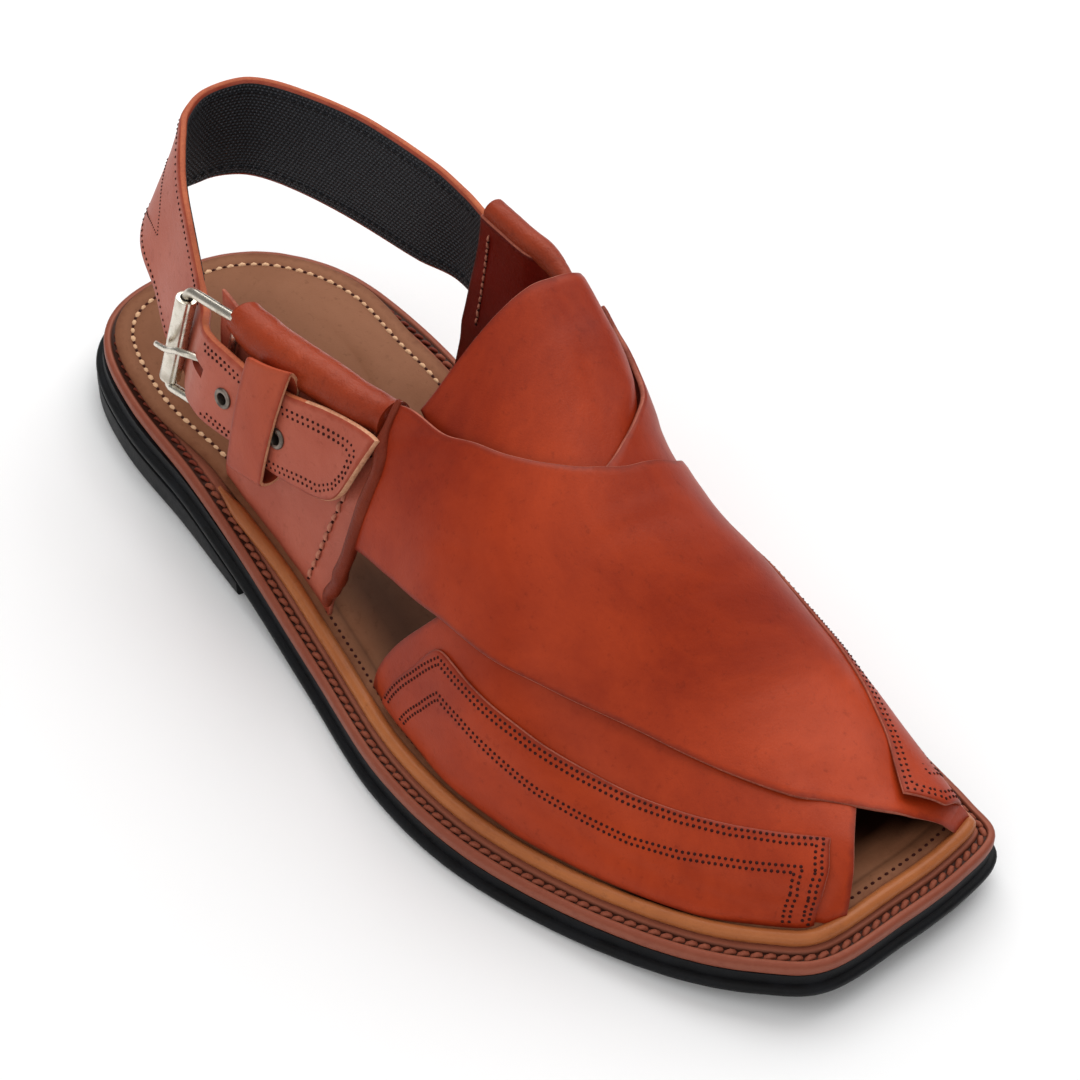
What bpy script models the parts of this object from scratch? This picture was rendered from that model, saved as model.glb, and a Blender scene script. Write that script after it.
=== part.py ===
"""Peshawari chappal, right shoe: two wide leather straps crossed over the forefoot.

+X points to the toe, +Y to the inner side of the foot and +Z up.
Sizes are in millimetres; MM turns them into metres when a mesh is made.
"""
import math

import bmesh
import bpy
import numpy as np
from mathutils import Matrix

MM = 0.001

# ---------------------------------------------------------------- sole sizes
HEEL_LIFT = 9.0         # height of the heel block under the outsole
HEEL_BREAST_X = 97.0    # straight front face of the heel block
RUBBER_T = 6.2          # outsole thickness
MIDSOLE_T = 4.2         # leather welt layer
INSOLE_T = 3.0          # leather footbed
FOOTBED_SKIVE = 1.4     # it is thinned by this much round the heel
SKIVE_X = 88.0
GAP = 0.3               # room left between two pieces that touch
TOE_SPRING = 6.0        # rise of the toe over the last part of the sole
SPRING_X = 220.0        # where the toe spring starts
SPRING_RUN = 70.0
ARCH_X = 150.0          # where the waist reaches the floor level
ARCH_RUN = 90.0
RUBBER_LEDGE = 1.3      # rubber shows this much outside the leather
RUBBER_GROWTH = (0.0, -0.5, -1.1)   # more of it at the waist and round the heel
HEEL_TAPER = 0.2        # heel block is a little smaller at the floor
# Distances inside the midsole edge: at the forefoot, and from the waist back.
FOOTBED_INSET = (9.35, 7.15, 4.1)  # the last one round the heel
PIPING_INSET = (7.0, 4.7)       # centre line of the piping
WAIST_X = 78.0
WAIST_RUN = 38.0
HEEL_X = 42.0
HEEL_RUN = 32.0
PIPING_R = 1.8
PIPING_START_X = 78.0   # end of the piping on the outer side of the waist
PIPING_END_X = 93.0     # and on the inner side

# Edge of the leather midsole seen from above, heel first, then the outer
# side, the square toe and the inner side back to the heel.
SOLE_OUTLINE = (
    # x, y
    (0.5, 1.5), (3.2, -16.0), (14.3, -28.1), (36.2, -35.8), (67.9, -40.8),
    (102.2, -46.9), (137.0, -54.1), (171.9, -62.3), (202.6, -63.1),
    (233.9, -56.1), (262.8, -45.2), (281.3, -33.8), (292.3, -21.6),
    (294.1, 2.0), (293.9, 21.9), (290.3, 37.0), (278.2, 41.6), (258.8, 45.4),
    (232.0, 49.4), (204.6, 48.7), (174.4, 43.2), (139.2, 39.8), (104.1, 42.3),
    (68.9, 45.0), (36.9, 44.3), (16.0, 35.2), (4.2, 20.8),
)

# Line on the footbed where the foot shape and the upper start.
FOOT_LINE = (
    # x, outer y, inner y
    (40.0, -29.6, 36.5),
    (60.0, -32.6, 36.6),
    (76.0, -35.2, 35.8),
    (90.0, -37.2, 34.0),
    (104.0, -38.6, 32.4),
    (118.0, -40.7, 31.1),
    (132.0, -43.6, 30.4),
    (150.0, -47.8, 31.0),
    (170.0, -52.7, 33.3),
    (190.0, -54.5, 36.9),
    (210.0, -52.7, 40.0),
    (230.0, -47.7, 40.3),
    (246.0, -42.3, 38.3),
    (258.0, -37.3, 36.2),
    (268.0, -32.0, 34.4),
    (275.0, -27.1, 32.9),
    (279.0, -23.9, 32.0),
    (281.5, -21.8, 31.4),
    (283.3, -19.3, 30.7),
    (284.5, -13.4, 23.3),
)

# ---------------------------------------------------------------- last shape
# One row per cross-section of the foot shape that the leather lies on.
LAST_SECTIONS = (
    # x, ridge height over the insole, skew on the outer side, skew on the inner side
    (50.0, 88.0, 12.0, 24.0),
    (90.0, 88.0, 13.0, 22.3),
    (110.0, 89.5, 21.0, 23.8),
    (130.0, 91.0, 29.0, 27.8),
    (150.0, 83.0, 24.0, 24.8),
    (165.0, 75.1, 17.7, 18.2),
    (200.0, 56.5, 5.0, 5.0),
    (240.0, 31.2, 6.0, 6.0),
    (272.0, 19.5, 2.5, 2.5),
    (281.0, 16.5, 1.2, 1.2),
    (288.0, 9.0, 0.5, 0.5),
)
LAST_FULLNESS = 0.69    # 1 is an ellipse, less is fuller

# ---------------------------------------------------------------- upper sizes
STRAP_WALL = 2.0        # outer strap, from the last surface inwards
UNDER_TOP = 1.4         # the inner strap starts this far in ...
UNDER_WALL = 2.2        # ... so that the two share 0.6 mm where they cross
TONGUE_TOP = 4.3
TONGUE_T = 1.7
QUARTER_TOP = 2.4
QUARTER_T = 1.6
STRAP_FOOT = 1.2        # how far the outer strap draws in at its foot
FOLD_RAMP = 16.0        # the inner strap comes up to the last over this run

# Each row is one fold line across the strap, from its rear to its front edge.
# t runs over the foot: 0 at the outer foot line, 0.5 near the ridge, 1 inside.
OUTER_STRAP = (
    # rear t, rear x, front t, front x
    (0.195, 129.5, 0.057, 134.1),
    (0.235, 145.0, 0.091, 154.6),
    (0.290, 156.0, 0.139, 174.4),
    (0.345, 165.0, 0.190, 193.9),
    (0.410, 173.0, 0.234, 209.4),
    (0.490, 179.5, 0.287, 226.2),
    (0.580, 183.0, 0.347, 247.5),
    (0.680, 183.2, 0.400, 260.5),
    (0.775, 180.0, 0.467, 272.5),
    (0.860, 174.0, 0.560, 280.0),
    (0.930, 166.0, 0.720, 283.6),
    (0.975, 159.0, 0.890, 284.4),
    (1.000, 155.0, 1.000, 284.3),
)
INNER_STRAP = (
    # rear t, rear x, front t, front x
    (0.730, 141.7, 0.943, 136.0),
    (0.742, 149.0, 0.909, 155.0),
    (0.740, 157.5, 0.861, 174.4),
    (0.705, 166.0, 0.810, 194.0),
    (0.650, 172.0, 0.766, 209.4),
    (0.590, 177.0, 0.713, 226.2),
    (0.533, 180.5, 0.653, 249.0),
    (0.440, 183.0, 0.600, 260.5),
    (0.340, 183.0, 0.533, 269.0),
    (0.250, 180.5, 0.440, 276.0),
    (0.170, 175.5, 0.330, 281.5),
    (0.100, 169.0, 0.170, 283.6),
    (0.040, 161.5, 0.060, 284.0),
    (0.000, 156.5, 0.000, 283.8),
)
TONGUE = (
    # t, rear x, front x
    (0.205, 133.0, 152.0),
    (0.240, 134.3, 162.0),
    (0.300, 135.2, 175.0),
    (0.390, 136.2, 190.0),
    (0.470, 137.2, 196.0),
    (0.550, 138.2, 195.0),
    (0.640, 137.2, 186.0),
    (0.710, 134.5, 172.0),
    (0.775, 130.0, 152.0),
)
OUTER_QUARTER = (
    # x at the foot, x at the top, t at the top
    (77.0, 61.0, 0.132),
    (79.5, 66.0, 0.123),
    (83.5, 73.0, 0.125),
    (88.5, 81.0, 0.133),
    (97.0, 92.6, 0.147),
    (106.0, 104.4, 0.153),
    (113.5, 115.2, 0.157),
    (120.5, 125.5, 0.168),
    (128.5, 139.0, 0.187),
)
INNER_QUARTER = (
    # x at the foot, x at the top, t at the top
    (92.5, 99.3, 0.741),
    (101.5, 108.0, 0.740),
    (110.0, 118.0, 0.743),
    (120.0, 130.0, 0.748),
    (131.0, 147.0, 0.738),
)
ROLL_R = 4.1            # rolled top edge of the outer quarter
ROLL_DEPTH = 4.6
ROLL_X = (77.6, 126.0)
INNER_ROLL_R = 2.7
INNER_ROLL_DEPTH = 2.1
INNER_ROLL_X = (99.0, 127.5)
# Pocket in the inner quarter that holds the end of the heel strap.
POCKET_STEP = 1.3       # the wall behind the strap lies this much deeper
POCKET_X = 122.0
POCKET_T = 0.96
LEAF_TOP = -0.9         # outer leaf of the pocket
LEAF_T = 1.2
LEAF_END = 3.0          # depth where the leaf meets the wall

# ---------------------------------------------------------------- heel strap
STRAP_T = 2.7
# Inner face of the strap round the heel, one row per section.
HEEL_LOOP = (
    # top x, y, z, bottom x, y, z
    (75.0, 37.6, 88.2, 74.0, 33.4, 57.0),
    (53.1, 36.4, 88.0, 54.3, 30.9, 57.0),
    (28.1, 30.7, 87.0, 31.0, 27.0, 56.0),
    (13.9, 22.6, 86.0, 15.5, 21.0, 55.0),
    (11.2, 13.0, 85.0, 10.3, 12.0, 54.5),
    (14.0, 5.5, 84.0, 10.0, 3.0, 55.0),
    (19.0, 0.7, 82.5, 12.5, -7.0, 54.0),
    (29.1, -7.3, 77.5, 17.5, -13.5, 50.0),
    (40.6, -13.9, 73.0, 28.5, -17.4, 44.0),
)
# Where it lies on the foot shape: x and height of both edges, and how far
# inside the foot shape its inner face is.
STRAP_ON_QUARTER = (
    # top x, top z, bottom x, bottom z, depth
    (112.0, 86.6, 112.0, 57.0, 3.4),
    (100.0, 86.8, 100.0, 57.0, 3.4),
    (88.0, 87.6, 87.0, 57.0, 3.1),
)
STRAP_END = (
    # top x, top z, bottom x, bottom z, depth
    (50.5, 66.0, 41.5, 37.0, 6.0),
    (54.3, 63.6, 50.0, 37.2, 5.0),
    (58.8, 62.6, 55.0, 38.2, 3.3),
    (63.6, 62.8, 60.5, 39.6, 0.1),
    (68.4, 63.6, 65.6, 39.9, -2.0),
    (73.8, 64.0, 72.4, 39.8, -2.2),
    (79.5, 63.8, 78.5, 40.2, -1.2),
    (86.0, 63.6, 85.5, 41.0, -0.1),
    (99.0, 65.4, 99.0, 42.9, -0.1),
    (112.0, 67.6, 112.0, 45.0, 0.1),
    (119.0, 68.3, 119.0, 47.0, 0.1),
    (124.0, 68.8, 123.0, 48.9, -0.2),
    (128.0, 69.2, 125.5, 51.0, -0.45),
    (131.0, 69.4, 127.2, 53.8, -0.65),
)

# ---------------------------------------------------------------- hardware
BUCKLE_WIRE_R = 1.4
# Corners of the buckle frame on the outer side of the foot shape.
BUCKLE_CORNERS = (
    # x, z, depth
    (53.8, 66.5, -1.8),
    (74.6, 70.8, 0.0),
    (73.0, 40.2, 0.0),
    (50.2, 33.6, -1.8),
)
BUCKLE_CORNER_R = 3.0
ROLLER_R = 2.9
ROLLER_WALL = 1.1
ROLLER_LENGTH = 28.6
PRONG_R = 0.85
PRONG_PATH = (
    # x, z, depth
    (71.0, 54.7, 0.7),
    (68.8, 54.4, -1.3),
    (65.6, 53.9, -4.3),
    (61.0, 52.8, -5.9),
    (55.5, 50.8, -6.3),
    (49.6, 48.8, -6.1),
)
SLOT_X = 66.8           # slot in the strap for the prong
SLOT_Z = 54.9
SLOT_LENGTH = 6.8
SLOT_WIDTH = 3.2
EYELETS = (
    # x, z
    (78.2, 51.9),
    (101.0, 54.3),
)
EYELET_R = 2.4
EYELET_BARREL_R = 1.9
EYELET_BORE_R = 1.4
EYELET_HOLE_R = 2.2
KEEPER_X = (86.4, 100.2)
KEEPER_T = 1.2
KEEPER_TOP_Z = 70.3     # outer top and bottom of the loop at its rear end
KEEPER_LOW_Z = 34.4
KEEPER_BEND = 2.2
KEEPER_DROP = 6.0       # its inner side stays under the rolled edge
KEEPER_RISE = 0.25      # how fast the loop climbs towards the toe
KEEPER_IN_DEPTH = 2.1
KEEPER_OUT_DEPTH = -5.1

# ---------------------------------------------------------------- helpers


def curve(xs, ys):
    """Smooth function through a table that never swings past its values."""
    xs = np.asarray(xs, float)
    ys = np.asarray(ys, float)
    h = np.diff(xs)
    d = np.diff(ys) / h
    m = np.zeros(len(ys))
    m[0] = d[0]
    m[-1] = d[-1]
    for i in range(1, len(xs) - 1):
        if d[i - 1] * d[i] > 0:
            w1 = 2 * h[i] + h[i - 1]
            w2 = h[i] + 2 * h[i - 1]
            m[i] = (w1 + w2) / (w1 / d[i - 1] + w2 / d[i])

    def value(x):
        x = np.clip(np.asarray(x, float), xs[0], xs[-1])
        i = np.clip(np.searchsorted(xs, x) - 1, 0, len(xs) - 2)
        s = (x - xs[i]) / h[i]
        a = (1 + 2 * s) * (1 - s) ** 2
        b = s * (1 - s) ** 2
        c = s * s * (3 - 2 * s)
        e = s * s * (s - 1)
        return a * ys[i] + b * h[i] * m[i] + c * ys[i + 1] + e * h[i] * m[i + 1]

    return value


def smooth(x):
    """Soft step from 0 to 1."""
    x = np.clip(x, 0.0, 1.0)
    return x * x * (3 - 2 * x)


def closed_spline(points, count):
    """Closed smooth loop through the points, evenly spaced."""
    p = np.asarray(points, float)
    n = len(p)
    fine = []
    for i in range(n):
        a, b, c, d = p[i - 1], p[i], p[(i + 1) % n], p[(i + 2) % n]
        for s in np.linspace(0, 1, 16, endpoint=False):
            m1 = (c - a) / 2
            m2 = (d - b) / 2
            fine.append((1 + 2 * s) * (1 - s) ** 2 * b + s * (1 - s) ** 2 * m1
                        + s * s * (3 - 2 * s) * c + s * s * (s - 1) * m2)
    return resample(np.array(fine), count)


def resample(loop, count):
    """Spread points evenly along a closed loop, starting at its first point."""
    ring = np.vstack([loop, loop[:1]])
    step = np.linalg.norm(np.diff(ring, axis=0), axis=1)
    s = np.concatenate([[0], np.cumsum(step)])
    at = np.linspace(0, s[-1], count, endpoint=False)
    return np.stack([np.interp(at, s, ring[:, k]) for k in range(ring.shape[1])], -1)


def loop_normals(loop):
    """Outward normals of a closed loop that runs heel, outer side, toe."""
    t = np.roll(loop, -1, 0) - np.roll(loop, 1, 0)
    n = np.stack([t[:, 1], -t[:, 0]], -1)
    return n / np.linalg.norm(n, axis=1)[:, None]


EDGE = closed_spline(SOLE_OUTLINE, 480)
EDGE_N = loop_normals(EDGE)


def inset_loop(fore, rear=None, heel=None, count=480):
    """Sole edge moved inwards, without the loops at tight corners."""
    rear = fore if rear is None else rear
    heel = rear if heel is None else heel
    d = rear + (fore - rear) * smooth((EDGE[:, 0] - WAIST_X) / WAIST_RUN)
    d = heel + (d - heel) * smooth((EDGE[:, 0] - HEEL_X) / HEEL_RUN)
    q = EDGE - EDGE_N * d[:, None]
    gap = np.linalg.norm(EDGE[None] - q[:, None], axis=2).min(axis=1)
    return resample(q[gap > np.abs(d) - 0.15], count)


RUBBER_EDGE = inset_loop(*RUBBER_GROWTH)
# The part's origin: on the floor under the middle of the sole.
MIDDLE = np.append((RUBBER_EDGE.min(axis=0) + RUBBER_EDGE.max(axis=0)) / 2, 0.0)


def metres(points):
    """Points in millimetres from the heel as metres from the part's origin."""
    return (np.asarray(points, float) - MIDDLE) * MM


def sides(loop):
    """The loop as two functions of x: the outer and the inner edge."""
    lo = int(np.argmin(loop[:, 0]))
    ring = np.roll(loop, -lo, axis=0)
    hi = int(np.argmax(ring[:, 0]))
    out = ring[:hi + 1]
    inn = np.vstack([ring[hi:], ring[:1]])[::-1]

    def y_out(x):
        return np.interp(x, out[:, 0], out[:, 1])

    def y_in(x):
        return np.interp(x, inn[:, 0], inn[:, 1])

    return y_out, y_in, ring[0, 0], ring[hi, 0]


def lift(x):
    """Height of the outsole's underside: heel, arch and toe spring."""
    heel = HEEL_LIFT * smooth((ARCH_X - np.asarray(x, float)) / ARCH_RUN)
    toe = TOE_SPRING * np.clip((x - SPRING_X) / SPRING_RUN, 0, 1.3) ** 2
    return heel + toe


RUBBER_TOP = RUBBER_T
MIDSOLE_LOW = RUBBER_TOP + GAP
MIDSOLE_TOP = MIDSOLE_LOW + MIDSOLE_T
INSOLE_LOW = MIDSOLE_TOP + GAP
INSOLE_TOP = INSOLE_LOW + INSOLE_T

_foot = np.array(FOOT_LINE)
foot_out = curve(_foot[:, 0], _foot[:, 1])
foot_in = curve(_foot[:, 0], _foot[:, 2])
_last = np.array(LAST_SECTIONS)
ridge = curve(_last[:, 0], _last[:, 1])
skew_out = curve(_last[:, 0], _last[:, 2])
skew_in = curve(_last[:, 0], _last[:, 3])


def last(x, t):
    """Point of the foot shape: t = 0 outer foot line, 1 inner foot line."""
    x, t = np.broadcast_arrays(np.asarray(x, float), np.asarray(t, float))
    a = foot_out(x)
    b = foot_in(x)
    s = np.sin(math.pi * t)
    side = smooth((t - 0.3) / 0.4)
    skew = skew_out(x) * (1 - side) + skew_in(x) * side
    y = (a + b) / 2 - (b - a) / 2 * np.cos(math.pi * t) + skew * s
    z = lift(x) + INSOLE_TOP + GAP + ridge(x) * np.maximum(s, 0) ** LAST_FULLNESS
    return np.stack([x, y, z], -1)


def last_normal(x, t):
    """Outward unit normal of the foot shape."""
    t0 = np.clip(np.asarray(t, float) - 0.004, 0.0005, 1)
    t1 = np.clip(np.asarray(t, float) + 0.004, 0, 0.9995)
    along = last(x + 0.5, t) - last(x - 0.5, t)
    across = last(x, t1) - last(x, t0)
    n = np.cross(across, along)
    n = -n / np.linalg.norm(n, axis=-1, keepdims=True)
    return n


def skin(x, t, depth):
    """Point of the foot shape moved inwards by depth."""
    return last(x, t) - last_normal(x, t) * np.asarray(depth)[..., None]


def side_t(x, z, inner):
    """The t whose height at x is z, on the outer or the inner side."""
    h = np.clip((z - lift(x) - INSOLE_TOP - GAP) / ridge(x), 0, 1)
    t = math.asin(float(h ** (1 / LAST_FULLNESS))) / math.pi
    return 1 - t if inner else t


def on_side(x, z, depth, inner=False):
    """Point at height z on one side of the foot shape, moved in by depth."""
    return skin(np.array(float(x)), np.array(side_t(x, z, inner)), np.array(float(depth)))


def rows_between(table, count):
    """Columns of a table read smoothly at evenly spaced places."""
    t = np.array(table, float)
    at = np.linspace(0, 1, len(t))
    u = np.linspace(0, 1, count)
    return np.stack([curve(at, t[:, k])(u) for k in range(t.shape[1])], -1)


def strap_grid(table, depth_top, wall, along=36, across=10):
    """Outer and inner faces of a strap ruled between its two edges."""
    rows = rows_between(table, along)
    v = np.linspace(0, 1, across)
    t = rows[:, :1] * (1 - v) + rows[:, 2:3] * v
    x = rows[:, 1:2] * (1 - v) + rows[:, 3:4] * v
    top = depth_top(x, t)
    return skin(x, t, top), skin(x, t, top + wall)


_outer_rear = np.array(OUTER_STRAP)
outer_rear_x = curve(_outer_rear[:, 0], _outer_rear[:, 1])


def outer_depth(x, t):
    """The outer strap draws in at its inner foot."""
    return STRAP_FOOT * smooth((t - 0.94) / 0.06) + 0 * x


def inner_depth(x, t):
    """The inner strap is level with the last behind the crossing, then under."""
    behind = smooth((outer_rear_x(t) - 4.0 - x) / FOLD_RAMP) * smooth((t - 0.5) / 0.1)
    foot = smooth((0.06 - t) / 0.06)
    return UNDER_TOP * (1 - behind) * (1 - 0.5 * foot)


def quarter_grid(table, inner, along=16, across=9):
    """Outer and inner faces of a quarter, from its foot to its top edge."""
    rows = rows_between(table, along)
    v = np.linspace(0, 1, across)
    x = rows[:, :1] * (1 - v) + rows[:, 1:2] * v
    foot = 1.0 if inner else 0.0
    t = foot * (1 - v) + rows[:, 2:3] * v
    near = smooth(1 - np.abs(t - foot) / 0.016)
    top = QUARTER_TOP - 1.6 * near
    if inner:
        top = top + POCKET_STEP * smooth((POCKET_X - x) / 7) * smooth((POCKET_T - t) / 0.03)
    return skin(x, t, top), skin(x, t, top + QUARTER_T)


def leaf_grid(along=14, across=8):
    """Outer leaf of the pocket: it meets the wall at its front and lower edges."""
    rows = rows_between(INNER_QUARTER, 40)
    rows = rows[rows[:, 1] < POCKET_X - 1.0]
    rows = rows[np.linspace(0, len(rows) - 1, along).round().astype(int)]
    v = np.linspace(0.19, 1, across)
    x = rows[:, :1] * (1 - v) + rows[:, 1:2] * v
    t = (1 - v) + rows[:, 2:3] * v
    close = np.maximum(smooth((x - POCKET_X + 9.5) / 6), smooth((t - POCKET_T + 0.035) / 0.02))
    top = LEAF_TOP + (LEAF_END - LEAF_TOP) * close
    return skin(x, t, top), skin(x, t, top + LEAF_T)


def strap_row(xt, zt, xb, zb, depth, inner):
    """Top, middle and bottom of the strap where it follows the foot shape."""
    top = on_side(xt, zt, depth, inner)
    mid = on_side((xt + xb) / 2, (zt + zb) / 2, depth, inner)
    return np.concatenate([top, mid, on_side(xb, zb, depth, inner)])


def heel_strap_grid(count=68, across=5):
    """Inner and outer faces of the heel strap."""
    rows = []
    for xt, zt, xb, zb, d in STRAP_ON_QUARTER:
        rows.append(strap_row(xt, zt, xb, zb, d, True))
    for row in HEEL_LOOP:
        top, low = np.array(row[:3]), np.array(row[3:])
        rows.append(np.concatenate([top, (top + low) / 2, low]))
    for xt, zt, xb, zb, d in STRAP_END:
        rows.append(strap_row(xt, zt, xb, zb, d, False))
    rows = np.array(rows, float)
    mid = rows[:, 3:6]
    s = np.concatenate([[0], np.cumsum(np.linalg.norm(np.diff(mid, axis=0), axis=1))])
    at = np.linspace(0, s[-1], count)
    row = np.stack([curve(s, rows[:, k])(at) for k in range(9)], -1)
    v = np.linspace(0, 1, across)[None, :, None]
    inner = (row[:, None, :3] * (1 - v) * (1 - 2 * v) + row[:, None, 3:6] * 4 * v * (1 - v)
             + row[:, None, 6:] * v * (2 * v - 1))
    along = np.gradient(inner, axis=0)
    down = np.gradient(inner, axis=1)
    n = np.cross(down, along)
    n /= np.linalg.norm(n, axis=-1, keepdims=True)
    return inner + n * STRAP_T, inner, n


def strap_spot(x, z):
    """Point and normal of the strap's outer face on the outer side of the foot."""
    outer, _, n = heel_strap_grid(500, 41)
    far = np.hypot(outer[..., 0] - x, outer[..., 2] - z) + 1000.0 * (outer[..., 1] > -15.0)
    spot = np.unravel_index(int(np.argmin(far)), far.shape)
    return outer[spot], n[spot]


def rounded_path(corners, radius, steps=5):
    """Closed path through the corners with each corner rounded."""
    p = np.array(corners, float)
    out = []
    for i in range(len(p)):
        a, b, c = p[i - 1], p[i], p[(i + 1) % len(p)]
        u = (a - b) / np.linalg.norm(a - b)
        w = (c - b) / np.linalg.norm(c - b)
        for s in np.linspace(0, 1, steps):
            start = b + u * radius
            end = b + w * radius
            out.append((1 - s) ** 2 * start + 2 * s * (1 - s) * b + s * s * end)
    return np.array(out)


# ---------------------------------------------------------------- build

for old in list(bpy.data.objects):
    bpy.data.objects.remove(old, do_unlink=True)

parts = bpy.data.collections.new("peshawari_chappal")
bpy.context.scene.collection.children.link(parts)
cutters = bpy.data.collections.new("cutters")
bpy.context.scene.collection.children.link(cutters)


def material(name, colour, roughness, metallic=0.0):
    mat = bpy.data.materials.new(name)
    mat.use_nodes = True
    shader = mat.node_tree.nodes["Principled BSDF"]
    shader.inputs["Base Color"].default_value = (*colour, 1.0)
    shader.inputs["Roughness"].default_value = roughness
    shader.inputs["Metallic"].default_value = metallic
    mat.diffuse_color = (*colour, 1.0)
    return mat


LEATHER = material("cognac_leather", (0.36, 0.06, 0.02), 0.38)
LINING = material("quarter_leather", (0.30, 0.07, 0.04), 0.45)
WELT = material("welt_leather", (0.29, 0.11, 0.07), 0.6)
FOOTBED = material("footbed_leather", (0.30, 0.13, 0.07), 0.55)
CORD = material("piping_leather", (0.52, 0.17, 0.05), 0.45)
RUBBER = material("black_rubber", (0.012, 0.012, 0.013), 0.6)
NICKEL = material("nickel", (0.62, 0.58, 0.52), 0.28, 1.0)
DARK_METAL = material("dark_metal", (0.10, 0.09, 0.08), 0.4, 1.0)


def add_mesh(name, verts, faces, mat, cutter=False):
    """Make one closed mesh object from points in millimetres."""
    mesh = bpy.data.meshes.new(name)
    mesh.from_pydata([tuple(v) for v in metres(verts)], [], faces)
    bm = bmesh.new()
    bm.from_mesh(mesh)
    bmesh.ops.recalc_face_normals(bm, faces=bm.faces)
    bm.to_mesh(mesh)
    bm.free()
    mesh.materials.append(mat)
    mesh.shade_smooth()
    mesh.set_sharp_from_angle(angle=math.radians(40))
    return add_object(name, mesh, cutter)


def add_object(name, data, cutter=False):
    obj = bpy.data.objects.new(name, data)
    (cutters if cutter else parts).objects.link(obj)
    if cutter:
        obj.hide_render = True
        obj.display_type = "WIRE"
    return obj


def shell(name, outer, inner, mat, cutter=False):
    """Closed sheet between two grids of points."""
    m, n = outer.shape[:2]
    verts = list(outer.reshape(-1, 3)) + list(inner.reshape(-1, 3))
    k = m * n
    faces = []
    for i in range(m - 1):
        for j in range(n - 1):
            a = i * n + j
            quad = (a, a + 1, a + n + 1, a + n)
            faces.append(quad)
            faces.append(tuple(k + q for q in reversed(quad)))
    rim = [j for j in range(n)]
    rim += [i * n + n - 1 for i in range(1, m)]
    rim += [(m - 1) * n + j for j in range(n - 2, -1, -1)]
    rim += [i * n for i in range(m - 2, 0, -1)]
    for a, b in zip(rim, rim[1:] + rim[:1]):
        faces.append((a, b, k + b, k + a))
    return add_mesh(name, verts, faces, mat, cutter)


def slab(name, loop, levels, mat, x_max=None, stations=44):
    """Sole layer: rings of the outline joined up its edge and closed by strips.

    levels holds (height function, growth outwards) from the bottom up.
    """
    y_out, y_in, x0, x1 = sides(loop)
    x1 = x1 if x_max is None else x_max
    span = (1 - np.cos(math.pi * np.arange(stations + 1) / stations)) / 2
    if x_max is not None:
        span = 1 - np.cos(math.pi / 2 * np.arange(stations + 1) / stations)
    x = x0 + (x1 - x0) * span
    out = [(v, float(y_out(v))) for v in x[1:]]
    inn = [(v, float(y_in(v))) for v in x[1:]]
    if x_max is None:
        ring = [(x0, float(y_out(x0)))] + out + inn[-2::-1]
    else:
        ring = [(x0, float(y_out(x0)))] + out + inn[::-1]
    ring = np.array(ring)
    count = len(ring)
    normal = loop_normals(ring)
    if x_max is not None:
        normal[stations] = (0.0, -1.0)
        normal[stations + 1] = (0.0, 1.0)
    verts = []
    for height, grow in levels:
        moved = ring + normal * grow
        verts += [(p[0], p[1], float(height(q[0]))) for p, q in zip(moved, ring)]
    faces = []
    for level in range(len(levels) - 1):
        base = level * count
        for i in range(count):
            j = (i + 1) % count
            faces.append((base + i, base + j, base + count + j, base + count + i))
    for base, flip in ((0, True), ((len(levels) - 1) * count, False)):
        for i in range(count // 2):
            a, b = i, i + 1
            c, d = (count - i - 1) % count, (count - i) % count
            face = [a, b, c, d]
            face = [base + f for k, f in enumerate(face) if f not in face[:k]]
            if len(face) > 2:
                faces.append(tuple(reversed(face)) if flip else tuple(face))
    return add_mesh(name, verts, faces, mat)


def wire(name, path, radius, mat, closed=False, detail=2):
    """Round wire or cord along a path, with filled ends."""
    data = bpy.data.curves.new(name, "CURVE")
    data.dimensions = "3D"
    data.bevel_depth = radius * MM
    data.bevel_resolution = detail
    data.use_fill_caps = True
    spline = data.splines.new("POLY")
    spline.points.add(len(path) - 1)
    for point, p in zip(spline.points, metres(path)):
        point.co = (*p, 1.0)
    spline.use_cyclic_u = closed
    spline.use_smooth = True
    data.materials.append(mat)
    return add_object(name, data)


def as_mesh(obj, cutter=False):
    """Turn a curve object into a mesh object with welded caps."""
    graph = bpy.context.evaluated_depsgraph_get()
    mesh = bpy.data.meshes.new_from_object(obj.evaluated_get(graph))
    name = obj.name
    bm = bmesh.new()
    bm.from_mesh(mesh)
    bmesh.ops.remove_doubles(bm, verts=bm.verts, dist=0.00001)
    bmesh.ops.recalc_face_normals(bm, faces=bm.faces)
    bm.to_mesh(mesh)
    bm.free()
    bpy.data.objects.remove(obj, do_unlink=True)
    return add_object(name, mesh, cutter)


def boolean(obj, other, operation):
    mod = obj.modifiers.new(operation.lower(), "BOOLEAN")
    mod.operation = operation
    mod.solver = "EXACT"
    mod.object = other


def frame_at(origin, normal, up):
    """Matrix with Z along the normal and Y towards up, origin in millimetres."""
    z = np.asarray(normal, float) / np.linalg.norm(normal)
    x = np.cross(up, z)
    x /= np.linalg.norm(x)
    y = np.cross(z, x)
    m = np.eye(4)
    m[:3, 0] = x
    m[:3, 1] = y
    m[:3, 2] = z
    m[:3, 3] = metres(origin)
    return Matrix(m.tolist())


# ---- sole: rubber outsole and heel, leather midsole and footbed

def at(base):
    return lambda x: lift(x) + base


def footbed_at(base):
    return lambda x: lift(x) + base - FOOTBED_SKIVE * smooth((SKIVE_X - x) / 30)


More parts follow.
